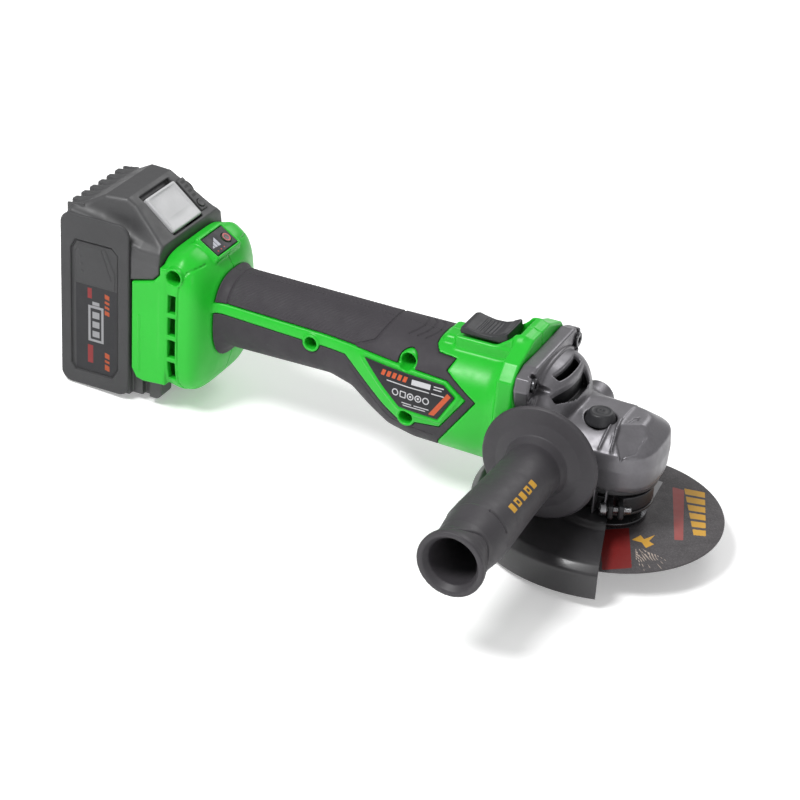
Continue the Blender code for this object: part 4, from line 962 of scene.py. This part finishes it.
def noise(tree, where, scale, detail=2.0, rough=0.5):
    made = wire(tree, "ShaderNodeTexNoise", {"Vector": where, "Scale": scale, "Detail": detail,
                                             "Roughness": rough})
    return made.outputs[0]


def finish(name, colour, roughness, metallic=0.0, mottle=0.07, vary=0.07, grain=2600.0,
           relief=0.00002, wear=1.5, wear_start=0.54, prints=None, turned_lines=None, grit=None,
           weave=False, coat=0.0, specular=0.5):
    """A moulded, cast or machined surface.

    mottle and vary are the spread of colour and of roughness, grain and relief are the
    surface's grain per metre and its depth in metres, wear is how much lighter edges are.
    prints gives the colour of each mark, printed marks and painted shade alike, which is laid where
    the attribute of that name is below zero. turned_lines is an axis and a place on it that fine
    rings run round, grit is how much lighter and darker single grains are, and weave adds a cloth's
    threads.
    """
    material = bpy.data.materials.new(name)
    material.use_nodes = True
    tree = material.node_tree
    shader = tree.nodes["Principled BSDF"]
    where = wire(tree, "ShaderNodeTexCoord").outputs["Object"]
    broad = noise(tree, where, 38.0, 4.0)
    fine = noise(tree, where, 700.0, 3.0)
    base = blend_colour(tree, spread(tree, broad, 0.3, 0.7), shade(colour, 1 - mottle),
                        shade(colour, 1 + mottle))
    base = blend_colour(tree, spread(tree, fine, 0.35, 0.75, 0.0, 0.5), base,
                        shade(colour, 1 - 1.6 * mottle))
    if grit:
        grain_cells = wire(tree, "ShaderNodeTexVoronoi", {"Vector": where, "Scale": 1900.0})
        pick = wire(tree, "ShaderNodeSeparateColor", {0: grain_cells.outputs["Color"]})
        base = blend_colour(tree, spread(tree, pick.outputs[0], 0.55, 1.0, 0.0, 0.55), base,
                            shade(colour, grit))
        base = blend_colour(tree, spread(tree, pick.outputs[1], 0.7, 1.0, 0.0, 0.5), base,
                            shade(colour, 1 / grit))
    if wear:
        edge = wire(tree, "ShaderNodeNewGeometry").outputs["Pointiness"]
        patchy = reckon(tree, "MULTIPLY", spread(tree, edge, wear_start, wear_start + 0.08),
                        spread(tree, noise(tree, where, 220.0, 4.0), 0.35, 0.65, 0.25, 0.9))
        base = blend_colour(tree, patchy, base, shade(colour, wear))
    # Each print covers the base colour where its attribute is below zero; the cast metal's outlet
    # attribute lays near-black painted shade this way
    for attribute, print_or_shade_colour in (prints or {}).items():
        mark = wire(tree, "ShaderNodeAttribute", attribute_name=attribute).outputs["Fac"]
        print_or_shade_cover = spread(tree, mark, 0.06, -0.06)
        thin = spread(tree, noise(tree, where, 1500.0, 2.0), 0.25, 0.4, 0.8, 1.0)
        base = blend_colour(tree, reckon(tree, "MULTIPLY", print_or_shade_cover, thin), base, (*print_or_shade_colour, 1.0))
    tree.links.new(base, shader.inputs["Base Color"])
    gloss = spread(tree, noise(tree, where, 140.0, 5.0), 0.3, 0.7, roughness - vary,
                   roughness + vary)
    tree.links.new(gloss, shader.inputs["Roughness"])
    bump = bumped(tree, noise(tree, where, grain, 3.0, 0.6), relief, 1.0)
    if turned_lines:
        axis, place = turned_lines
        shifted = wire(tree, "ShaderNodeVectorMath", {0: where, 1: place}, operation="SUBTRACT")
        keep = [1.0, 1.0, 1.0]
        keep["xyz".index(axis)] = 0.0
        flat = wire(tree, "ShaderNodeVectorMath", {0: shifted.outputs[0], 1: keep},
                    operation="MULTIPLY")
        radius = wire(tree, "ShaderNodeVectorMath", {0: flat.outputs[0]}, operation="LENGTH")
        lines = wire(tree, "ShaderNodeTexNoise", {"W": radius.outputs["Value"], "Scale": 6000.0,
                                                  "Detail": 3.0}, noise_dimensions="1D")
        bump = bumped(tree, lines.outputs[0], 0.00001, 0.7, Normal=bump)
    if weave:
        bands = [wire(tree, "ShaderNodeTexWave", {"Vector": where, "Scale": 55.0,
                                                  "Distortion": 0.6, "Detail": 1.0},
                      bands_direction=direction).outputs[1] for direction in ("X", "Y")]
        bump = bumped(tree, reckon(tree, "MAXIMUM", *bands), 0.00006, 0.5, Normal=bump)
    tree.links.new(bump, shader.inputs["Normal"])
    shader.inputs["Metallic"].default_value = metallic
    shader.inputs["Specular IOR Level"].default_value = specular
    if coat:
        shader.inputs["Coat Weight"].default_value = coat
        shader.inputs["Coat Roughness"].default_value = 0.12
    return material


def paint(obj, name, function):
    """Store a flat distance in millimetres on each vertex, for a printed mark or for painted shade.
    """
    places = np.zeros(len(obj.data.vertices) * 3, np.float32)
    obj.data.vertices.foreach_get("co", places)
    values = function(places.reshape(-1, 3).astype(float) / MM)
    layer = obj.data.attributes.new(name, "FLOAT", "POINT")
    layer.data.foreach_set("value", np.asarray(values, np.float32))


GREEN, RUBBER_BLACK = (0.014, 0.470, 0.024), (0.040, 0.036, 0.042)
PACK_GREY, BLACK = (0.056, 0.056, 0.058), (0.022, 0.022, 0.025)
INK_ORANGE, INK_RED, INK_YELLOW = (0.70, 0.12, 0.03), (0.17, 0.004, 0.003), (0.58, 0.31, 0.03)
SPINDLE_AXIS, MOTOR_AXIS = ("z", (0.0, 0.0, 0.0)), ("x", (0.0, 0.0, 0.0565))
EDGE_WIDTH, EDGE_ANGLE = 0.0002, math.radians(40)
INK_GREY, INK_WHITE, INK_BLACK = (0.30, 0.30, 0.31), (0.52, 0.52, 0.54), (0.018, 0.018, 0.021)


def marks_on(u, v, outside=None, axes=None, **flats):
    """Printed marks, each a flat distance over axes u and v, kept to where outside is negative."""
    def mark(flat):
        def distance(p):
            q = axes(p) if axes else p
            away = flat(q[:, u], q[:, v])
            return np.maximum(away, outside(p)) if outside else away
        return distance
    return {name: mark(flat) for name, flat in flats.items()}


def pack_label(side):
    """Bars and blocks on the battery's side label: a charge symbol, no lettering."""
    def black(x, z):
        return near_outline(x, z, [(-316.2, 77.6), (-289.0, 77.6), (-289.0, 28.6),
                                   (-292.6, 23.0), (-315.6, 23.0), (-316.2, 24.0)])

    def orange(x, z):
        return any_of(*[near_outline(x, z, [(-297.4, z0), (-294.2, z0 - 0.8), (-294.2, z1 - 0.8),
                                            (-297.4, z1)]) for z0, z1 in
                        ((74.6, 71.6), (70.4, 68.6), (67.4, 65.6), (64.4, 61.6), (37.6, 34.2),
                         (33.0, 31.2), (30.0, 26.4))])

    def red(x, z):
        return any_of(near_rect(x, z, (-308.6, 69.4), (-305.8, 76.0)),
                      near_rect(x, z, (-308.8, 28.4), (-305.0, 40.2)))

    def pale(x, z):
        # A battery drawn as an outline with three bars, and its terminal
        outline = np.abs(near_rect(x, z, (-308.4, 42.4), (-298.0, 65.4)) + 0.9) - 0.9
        bars = any_of(*[near_rect(x, z, (-305.6, low), (-300.8, low + 4.2))
                        for low in (45.4, 51.4, 57.4)])
        return any_of(outline, bars, near_rect(x, z, (-305.6, 65.6), (-300.8, 68.0)))
    return marks_on(0, 2, lambda p: 36.0 - p[:, 1] * side, black=black, orange=orange, red=red,
                    pale=pale)


def plate_marks():
    """Rating plate: pale frames and bars, and a slanted orange-red stripe at its end."""
    def stripe(x, z):
        end = near_outline(x, z, [(-87.2, 69.0), (-84.9, 67.6), (-93.6, 54.4), (-97.0, 54.2)])
        head = [near_outline(x, z, [(a, 71.6), (a + 2.2, 71.6), (a + 1.4, 68.6), (a - 0.8, 68.6)])
                for a in (-127.0, -123.6, -120.2, -116.8, -113.4)]
        return any_of(end, *head)

    def pale(x, z):
        title = near_rect(x, z, (-108.6, 68.4), (-97.4, 71.2))
        rows = [near_rect(x, z, (a, b), (a + length, b + 0.55)) for a, b, length in
                ((-95.6, 70.4, 6.0), (-95.6, 69.0, 5.0), (-123.6, 66.4, 26.0), (-96.4, 66.4, 7.6),
                 (-113.2, 56.6, 6.0), (-105.8, 56.6, 9.0), (-112.4, 55.2, 13.6))]
        rings = [np.abs(np.hypot(x - a, z - 61.6) - 1.7) - 0.3
                 for a in (-117.6, -108.2, -103.6, -99.0)]
        box = np.abs(near_rect(x, z, (-114.4, 60.0), (-111.2, 63.2))) - 0.28
        dots = [np.hypot(x - a, z - 61.6) - 0.7 for a in (-108.2, -103.6)]
        return any_of(title, box, *rows, *rings, *dots)
    return marks_on(0, 2, stripe=stripe, pale=pale)


def display_marks():
    def level(y, u):
        wedge = near_outline(y, u, [(-10.0, 1.6), (-1.8, -3.6), (-1.8, 2.4)])
        gaps = any_of(np.abs(y + 4.6) - 0.22, np.abs(y + 7.2) - 0.22)
        return np.maximum(wedge, -gaps)

    def small(y, u):
        return any_of(*[np.hypot(y - a, u - 4.4) - 0.5 for a in (-8.0, -4.6, -1.2)])
    return marks_on(1, 0, axes=display_axes, level=level, small=small)


def speed_marks():
    def ring(u, y):
        return np.abs(np.hypot(u - SPEED_KEY[0], y - SPEED_KEY[1]) - 2.25) - 0.38
    return marks_on(0, 1, axes=display_axes, ring=ring)


def gauge_marks():
    def pale(u, y):
        return any_of(*[near_rect(u, y - GAUGE_KEY[1], (low, -1.9), (low + 1.7, 1.9))
                        for low in (-9.4, -6.2, -3.0, 0.2)])
    return marks_on(0, 1, axes=button_axes, pale=pale)


def disc_marks():
    """Blocks of colour on the disc's upper face: bars, a block and a burst of sparks."""
    def yellow(x, y):
        bars = []
        for k in range(6):
            a, b = k / 6 + 0.01, (k + 1) / 6 - 0.035
            near = [(27.7 + 21.9 * t, 42.9 - 46.0 * t) for t in (a, b)]
            far = [(39.4 + 16.2 * t, 44.8 - 45.5 * t) for t in (a, b)]
            bars.append(near_outline(x, y, [near[0], far[0], far[1], near[1]]))
        flash = near_outline(x, y, [(21.5, -23.0), (24.0, -16.0), (27.0, -19.0), (30.7, -12.0),
                                    (30.0, -19.5), (33.5, -21.0), (31.0, -26.8), (27.0, -22.8)])
        return any_of(flash, *bars)

    def red(x, y):
        return near_outline(x, y, [(3.2, -22.5), (16.0, -12.5), (31.4, -49.0), (18.4, -58.9)])

    def rose(x, y):
        bar = near_outline(x, y, [(22.6, 40.0), (28.3, 40.0), (45.0, -9.0), (41.8, -10.6)])
        return bar - 0.6

    def grey(x, y):
        return near_outline(x, y, [(7.0, 43.0), (15.4, 42.9), (17.1, 20.4), (9.0, 20.4)])

    def sparks(x, y):
        lines = []
        for k in range(12):
            turn = math.radians(-68.0 + 4.2 * k)
            start, reach = 6.0 + 2.6 * (k * 5 % 4), 17.0 + 2.4 * (k * 7 % 5)
            c, s = math.cos(turn), math.sin(turn)
            lines.append(near_line(x, y, [(24.4 + c * start, -25.0 + s * start),
                                          (24.4 + c * reach, -25.0 + s * reach)]) - 0.24)
        return any_of(*lines)
    return marks_on(0, 1, lambda p: 7.35 - p[:, 2], yellow=yellow, red=red, rose=rose, grey=grey,
                    sparks=sparks)


def handle_marks():
    """Five short slanted bars along the grip's upper side, two of them hollow."""
    def bars(p):
        radius, turn = handle_polar(p)
        across = np.radians(turn - 43.0) * 16.5
        along = p[:, 1] + 0.3 * across

        def row(start, end, half, places):
            return any_of(*[near_rect(along, across, (start + 6.9 * k, -half),
                                      (end + 6.9 * k, half)) for k in places])
        made = np.maximum(row(-116.0, -111.6, 2.3, range(5)), -row(-114.8, -112.8, 1.0, (1, 3)))
        return np.maximum(made, 15.0 - radius)
    return {"bars": bars}


def put(piece, body, slot, material, *nodes, marks=None):
    """Hang a piece on a body, in place of CAD nodes, with its printed marks or painted shade, and a
    finish.
    """
    for name, distance in (marks or {}).items():
        paint(piece, name, distance)
    piece.data.materials.clear()
    piece.data.materials.append(material)
    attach(piece, body)
    if nodes:
        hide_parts(*nodes)


def put_sides(name, field, across, low, high, step, body, slot, material, node, marks=None):
    """A left and a right piece, put in place. low and high are limits along X and Z."""
    for side, word in zip(SIDES, ("left", "right")):
        near, far = sorted((side * across[0], side * across[1]))
        piece = field_object(f"{name}_{word}", field(side), (low[0], near, low[1]),
                             (high[0], far, high[1]), step)
        put(piece, body, slot, material, f"{node}_{word}", marks=marks(side) if marks else None)


def make_object_pieces():
    """Every worked piece, and the finishes that the CAD nodes beside them take."""
    packed = {"mottle": 0.06, "wear": 1.35}
    film = {"mottle": 0.05, "wear": 0.0}
    rough_cast = {"mottle": 0.10, "grain": 1500.0, "relief": 0.00003}
    green = finish("green_moulding", GREEN, 0.36, mottle=0.04, wear=1.12, relief=0.000012,
                   specular=0.38)
    rubber = finish("soft_rubber", RUBBER_BLACK, 0.68, mottle=0.08, grain=3400.0,
                    relief=0.00003, specular=0.35)
    pack_plastic = finish("pack_moulding", PACK_GREY, 0.52, **packed)
    pack_side = finish("pack_side_moulding", PACK_GREY, 0.52, specular=0.22, **packed,
                       prints={"black": (0.006, 0.0055, 0.009), "orange": INK_ORANGE,
                               "red": (0.42, 0.035, 0.035), "pale": (0.50, 0.50, 0.52)})
    black = finish("black_moulding", BLACK, 0.5, relief=0.000015, wear=1.7)
    handle = finish("handle_rubber", (0.044, 0.041, 0.046), 0.52, mottle=0.08, grain=3000.0,
                    wear=1.4, prints={"bars": INK_YELLOW}, specular=0.4)
    pale = finish("pale_key_moulding", (0.46, 0.46, 0.47), 0.42, mottle=0.03, wear=1.1)
    # The cast metal's near-black print is painted shade on the walls and floors of the air outlets
    cast = finish("cast_metal", (0.165, 0.160, 0.172), 0.40, metallic=0.6, vary=0.08, wear=1.9,
                  wear_start=0.55, prints={"painted_outlet_shade": (0.006, 0.006, 0.007)}, **rough_cast)
    cap_metal = finish("cap_metal", (0.05, 0.05, 0.053), 0.45, metallic=0.5, wear=1.8,
                       **rough_cast)
    steel = finish("bright_steel", (0.60, 0.60, 0.61), 0.28, metallic=1.0, mottle=0.08,
                   relief=0.000006, wear=1.3, turned_lines=SPINDLE_AXIS)
    screw_steel = finish("screw_steel", (0.30, 0.30, 0.31), 0.34, metallic=1.0, mottle=0.1,
                         relief=0.000008, wear=1.4)
    dark_screw = finish("dark_screw", (0.085, 0.085, 0.09), 0.30, metallic=0.9, mottle=0.1,
                        relief=0.000008, wear=2.0)
    zinc = finish("dark_zinc", (0.045, 0.045, 0.048), 0.40, metallic=0.7, mottle=0.12,
                  relief=0.00001, wear=2.2)
    guard_paint = finish("guard_paint", (0.027, 0.026, 0.028), 0.36, mottle=0.1, grain=900.0,
                         relief=0.00003, wear=1.8, coat=0.15)
    resin = finish("disc_resin_face", (0.055, 0.050, 0.053), 0.62, mottle=0.08, wear=0.0,
                   grain=1700.0, relief=0.00005, grit=2.0, weave=True,
                   prints={"grey": INK_GREY, "rose": (0.30, 0.065, 0.06), "red": INK_RED,
                           "sparks": (0.40, 0.33, 0.28), "yellow": INK_YELLOW})
    plate = finish("rating_film", INK_BLACK, 0.42, relief=0.000004, specular=0.3, **film,
                   prints={"stripe": (0.52, 0.09, 0.03), "pale": INK_WHITE})
    screen = finish("display_film", (0.012, 0.012, 0.016), 0.42, relief=0.000003, specular=0.25,
                    prints={"level": (0.40, 0.41, 0.46), "small": (0.45, 0.06, 0.05)}, **film)
    gauge = finish("gauge_film", PACK_GREY, 0.5, relief=0.000004, specular=0.35, **film,
                   prints={"pale": (0.015, 0.015, 0.016)})
    ringed = finish("ring_key", (0.07, 0.05, 0.05), 0.35, prints={"ring": (0.42, 0.03, 0.03)},
                    **film)

    # The gear case carries near-black painted shade on the walls and floors of its air outlets
    put(field_object("gear_case_casting", gear_case, (-49, -39, 18), (30, 39, 97)), "housing",
        "cast_aluminium", cast, "gear_case", marks={"painted_outlet_shade": outlet_painted_shade})
    put_sides("housing_shell", housing_half, (0.0, 39.0), (-281, 19), (-47, 111), 0.7,
              "housing", "green_plastic", green, "housing")
    put_sides("grip_cover", grip_rubber, (0.0, 33.5), (-236, 24), (-68, 93), 0.55,
              "housing", "black_rubber", rubber, "grip_rubber")
    put_sides("rating_plate", label_field, (14.0, 34.0), (-141, 51), (-81, 75), 0.35,
              "housing", "label_film", plate, "label_plate", lambda _: plate_marks())
    put(field_object("battery_tub", battery_case, (-325, -35, 13), (-263, 35, 101), 0.7),
        "pack", "black_plastic", pack_plastic, "battery_case")
    put(field_object("battery_roof", battery_top, (-327, -37, 86), (-262, 37, 132), 0.55),
        "pack", "black_plastic", pack_plastic, "battery_top_cover")
    put(field_object("release_key", release_button, (-287, -17, 103), (-262, 17, 131), 0.45),
        "release", "light_grey_plastic", pale, "release_button")
    put_sides("battery_cheek", side_cover, (34.0, 38.0), (-327, 12), (-280, 121), 0.45,
              "pack", "grey_plastic", pack_side, "battery_side", pack_label)
    put(field_object("handle_moulding", handle_field, (-60, -161, 18), (7, -38, 86)),
        "housing", "black_rubber", handle, "side_handle_grip", marks=handle_marks())
    for piece in make_guard():
        put(piece, "guard", "painted_steel", guard_paint, "guard_shell")
    put(field_object("guard_clamp", clamp_field, (-25, -34, 19), (25, 26, 29), 0.4),
        "guard", "steel", zinc, "guard_band")
    put(field_object("guard_bolt", clamp_bolt_field, (-10, -34, 19), (26, -14, 29), 0.3),
        "guard", "steel", screw_steel, "guard_clamp_screw")
    put(make_disc(), "spindle", "disc_resin", resin, "cutting_disc", marks=disc_marks())
    put(make_washer(), "spindle", "steel", dark_screw, "inner_flange")
    put(field_object("outer_nut", nut_field, (-21, -21, 1), (21, 21, 7), 0.45),
        "spindle", "black_plastic", zinc, "clamp_nut")
    put(field_object("threaded_spindle", spindle_field, (-8, -8, -1), (8, 8, 58), 0.35),
        "spindle", "steel", steel, "spindle")
    put(make_cap(), "housing", "cast_aluminium", cap_metal, "bearing_cap")
    put(make_lock_button(), "lock", "black_plastic", black, "lock_button")
    coil = make_lock_spring()
    put(coil, "housing", "steel", steel, "lock_spring")
    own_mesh(coil)
    put(field_object("slide_key", switch_field, (-93, -12, 94), (-62, 12, 104), 0.4),
        "switch", "black_plastic", black, "slide_switch")
    film = film_field(display_axes, (-6.4, -11.4, 0.3), (6.4, 11.4, 1.5), SPEED_KEY, 3.3, 1.0)
    put(field_object("display_face", film, (-253, -12, 101), (-238, 12, 112), 0.3),
        "housing", "black_plastic", screen, "display_panel", marks=display_marks())
    key = key_field(display_axes, SPEED_KEY, 3.0, 1.3, 2.2, 7.4, 5.45)
    put(field_object("speed_key", key, (-249, 2, 104), (-240, 10, 110), 0.2),
        "speed", "light_grey_plastic", ringed, "speed_button", marks=speed_marks())
    film = film_field(button_axes, (-11.0, 17.6, 0.3), (11.0, 24.6, 1.2), GAUGE_KEY, 2.7, 0.0)
    put(field_object("gauge_face", film, (-286, 17, 111), (-264, 25, 130), 0.3),
        "pack", "label_film", gauge, "gauge_panel", marks=gauge_marks())
    key = key_field(button_axes, GAUGE_KEY, 2.4, 1.0, 1.9, 6.6, 4.95)
    put(field_object("gauge_key", key, (-273, 18, 113), (-266, 24, 120), 0.2),
        "gauge", "light_grey_plastic", pack_plastic, "gauge_button")
    screws = make_screws()
    for kind, metal, made in (("housing_screw", screw_steel, screws[:4]),
                              ("gear_case_screw", dark_screw, screws[4:])):
        for index, piece in enumerate(made):
            put(piece, "housing", "steel", metal, f"{kind}_{index + 1}")
    return {"black_plastic": black, "grey_plastic": pack_plastic, "light_grey_plastic": pale,
            "cast_aluminium": cast, "steel": screw_steel, "painted_steel": guard_paint,
            "green_plastic": green, "black_rubber": rubber, "label_film": plate,
            "disc_resin": resin}


def finish_hidden_nodes(finishes):
    """Give the CAD nodes that stay, such as the motor and the cells, a worked finish."""
    finishes["copper_winding"] = finish("wound_copper", (0.45, 0.20, 0.09), 0.4, metallic=0.8,
                                        mottle=0.2, turned_lines=MOTOR_AXIS)
    finishes["circuit_board"] = finish("board_green", (0.02, 0.16, 0.06), 0.45, mottle=0.2)
    finishes["cell_wrap"] = finish("cell_sleeve", (0.05, 0.18, 0.42), 0.35, mottle=0.06)
    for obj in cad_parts.values():
        for slot in obj.material_slots:
            plain = slot.material.name.split(".")[0]
            slot.material = finishes[plain]
        if not obj.hide_render:
            edge = obj.modifiers.new("edge", "BEVEL")
            edge.width = EDGE_WIDTH
            edge.segments = 2
            edge.limit_method = "ANGLE"
            edge.angle_limit = EDGE_ANGLE


# ---------------------------------------------------------------- stage

CAMERA_TARGET = Vector((-128.27, 0.0, 38.45))
CAMERA_DISTANCE = 1329.11
CAMERA_TURN = math.radians(23.61)
CAMERA_RISE = math.radians(28.83)
CAMERA_ROLL = math.radians(3.76)
CAMERA_LENS = 107.57
# Each light is (name, place, size, power)
LIGHTS = (("key", (-0.55, -0.85, 1.55), 0.6, 26.0), ("fill", (1.3, -1.2, 0.8), 0.8, 3.0),
          ("back", (0.1, 1.3, 1.2), 0.9, 8.0))
LIGHTS_AIM = (-0.13, 0, 0.05)
SKY_STRENGTH = 0.42
# The tool rests on the guard's skirt and on the battery's back edge, so the floor leans a little
SKIRT_X, SKIRT_Z, EDGE_X, EDGE_Z = -76.0, -2.2, -325.9, 13.3
FLOOR_GAP, FLOOR_REACH = 0.3, 30000


def make_camera():
    back = Vector((math.sin(CAMERA_TURN) * math.cos(CAMERA_RISE),
                   -math.cos(CAMERA_TURN) * math.cos(CAMERA_RISE), math.sin(CAMERA_RISE)))
    right = (-back).cross(Vector((0, 0, 1))).normalized()
    up = right.cross(-back)
    c, s = math.cos(CAMERA_ROLL), math.sin(CAMERA_ROLL)
    columns = (right * c + up * s, up * c - right * s, back)
    camera = bpy.data.objects.new("camera", bpy.data.cameras.new("camera"))
    bpy.context.scene.collection.objects.link(camera)
    turn = Matrix(columns).transposed().to_4x4()
    camera.matrix_world = Matrix.Translation((CAMERA_TARGET + back * CAMERA_DISTANCE) * MM) @ turn
    camera.data.lens = CAMERA_LENS
    camera.data.sensor_width = 36.0
    bpy.context.scene.camera = camera


def make_light(name, place, size, power):
    light = bpy.data.lights.new(name, "AREA")
    light.shape = "DISK"
    light.size = size
    light.energy = power
    obj = bpy.data.objects.new(name, light)
    bpy.context.scene.collection.objects.link(obj)
    obj.location = place
    obj.rotation_euler = (Vector(place) - Vector(LIGHTS_AIM)).to_track_quat("Z", "Y").to_euler()


def floor_finish():
    material = bpy.data.materials.new("studio_floor")
    material.use_nodes = True
    tree = material.node_tree
    shader = tree.nodes["Principled BSDF"]
    where = wire(tree, "ShaderNodeTexCoord").outputs["Object"]
    tone = blend_colour(tree, noise(tree, where, 3.0), (0.93, 0.93, 0.93, 1), (0.96, 0.96, 0.96, 1))
    tree.links.new(tone, shader.inputs["Base Color"])
    shader.inputs["Roughness"].default_value = 0.9
    shader.inputs["Emission Color"].default_value = (1, 1, 1, 1)
    shader.inputs["Emission Strength"].default_value = 0.28
    return material


def make_stage():
    make_camera()
    for light in LIGHTS:
        make_light(*light)
    world = bpy.data.worlds.new("studio")
    world.use_nodes = True
    world.node_tree.nodes["Background"].inputs["Color"].default_value = (1, 1, 1, 1)
    world.node_tree.nodes["Background"].inputs["Strength"].default_value = SKY_STRENGTH
    bpy.context.scene.world = world
    bpy.context.scene.view_settings.view_transform = "Standard"
    slope = (EDGE_Z - SKIRT_Z) / (EDGE_X - SKIRT_X)
    corners = [(x * FLOOR_REACH, y * FLOOR_REACH,
                SKIRT_Z - FLOOR_GAP + slope * (x * FLOOR_REACH - SKIRT_X))
               for x, y in ((-1, -1), (1, -1), (1, 1), (-1, 1))]
    floor = mesh_object("floor", np.array(corners, float), [(0, 1, 2, 3)])
    floor.data.materials.append(floor_finish())


make_stage()
finish_hidden_nodes(make_object_pieces())
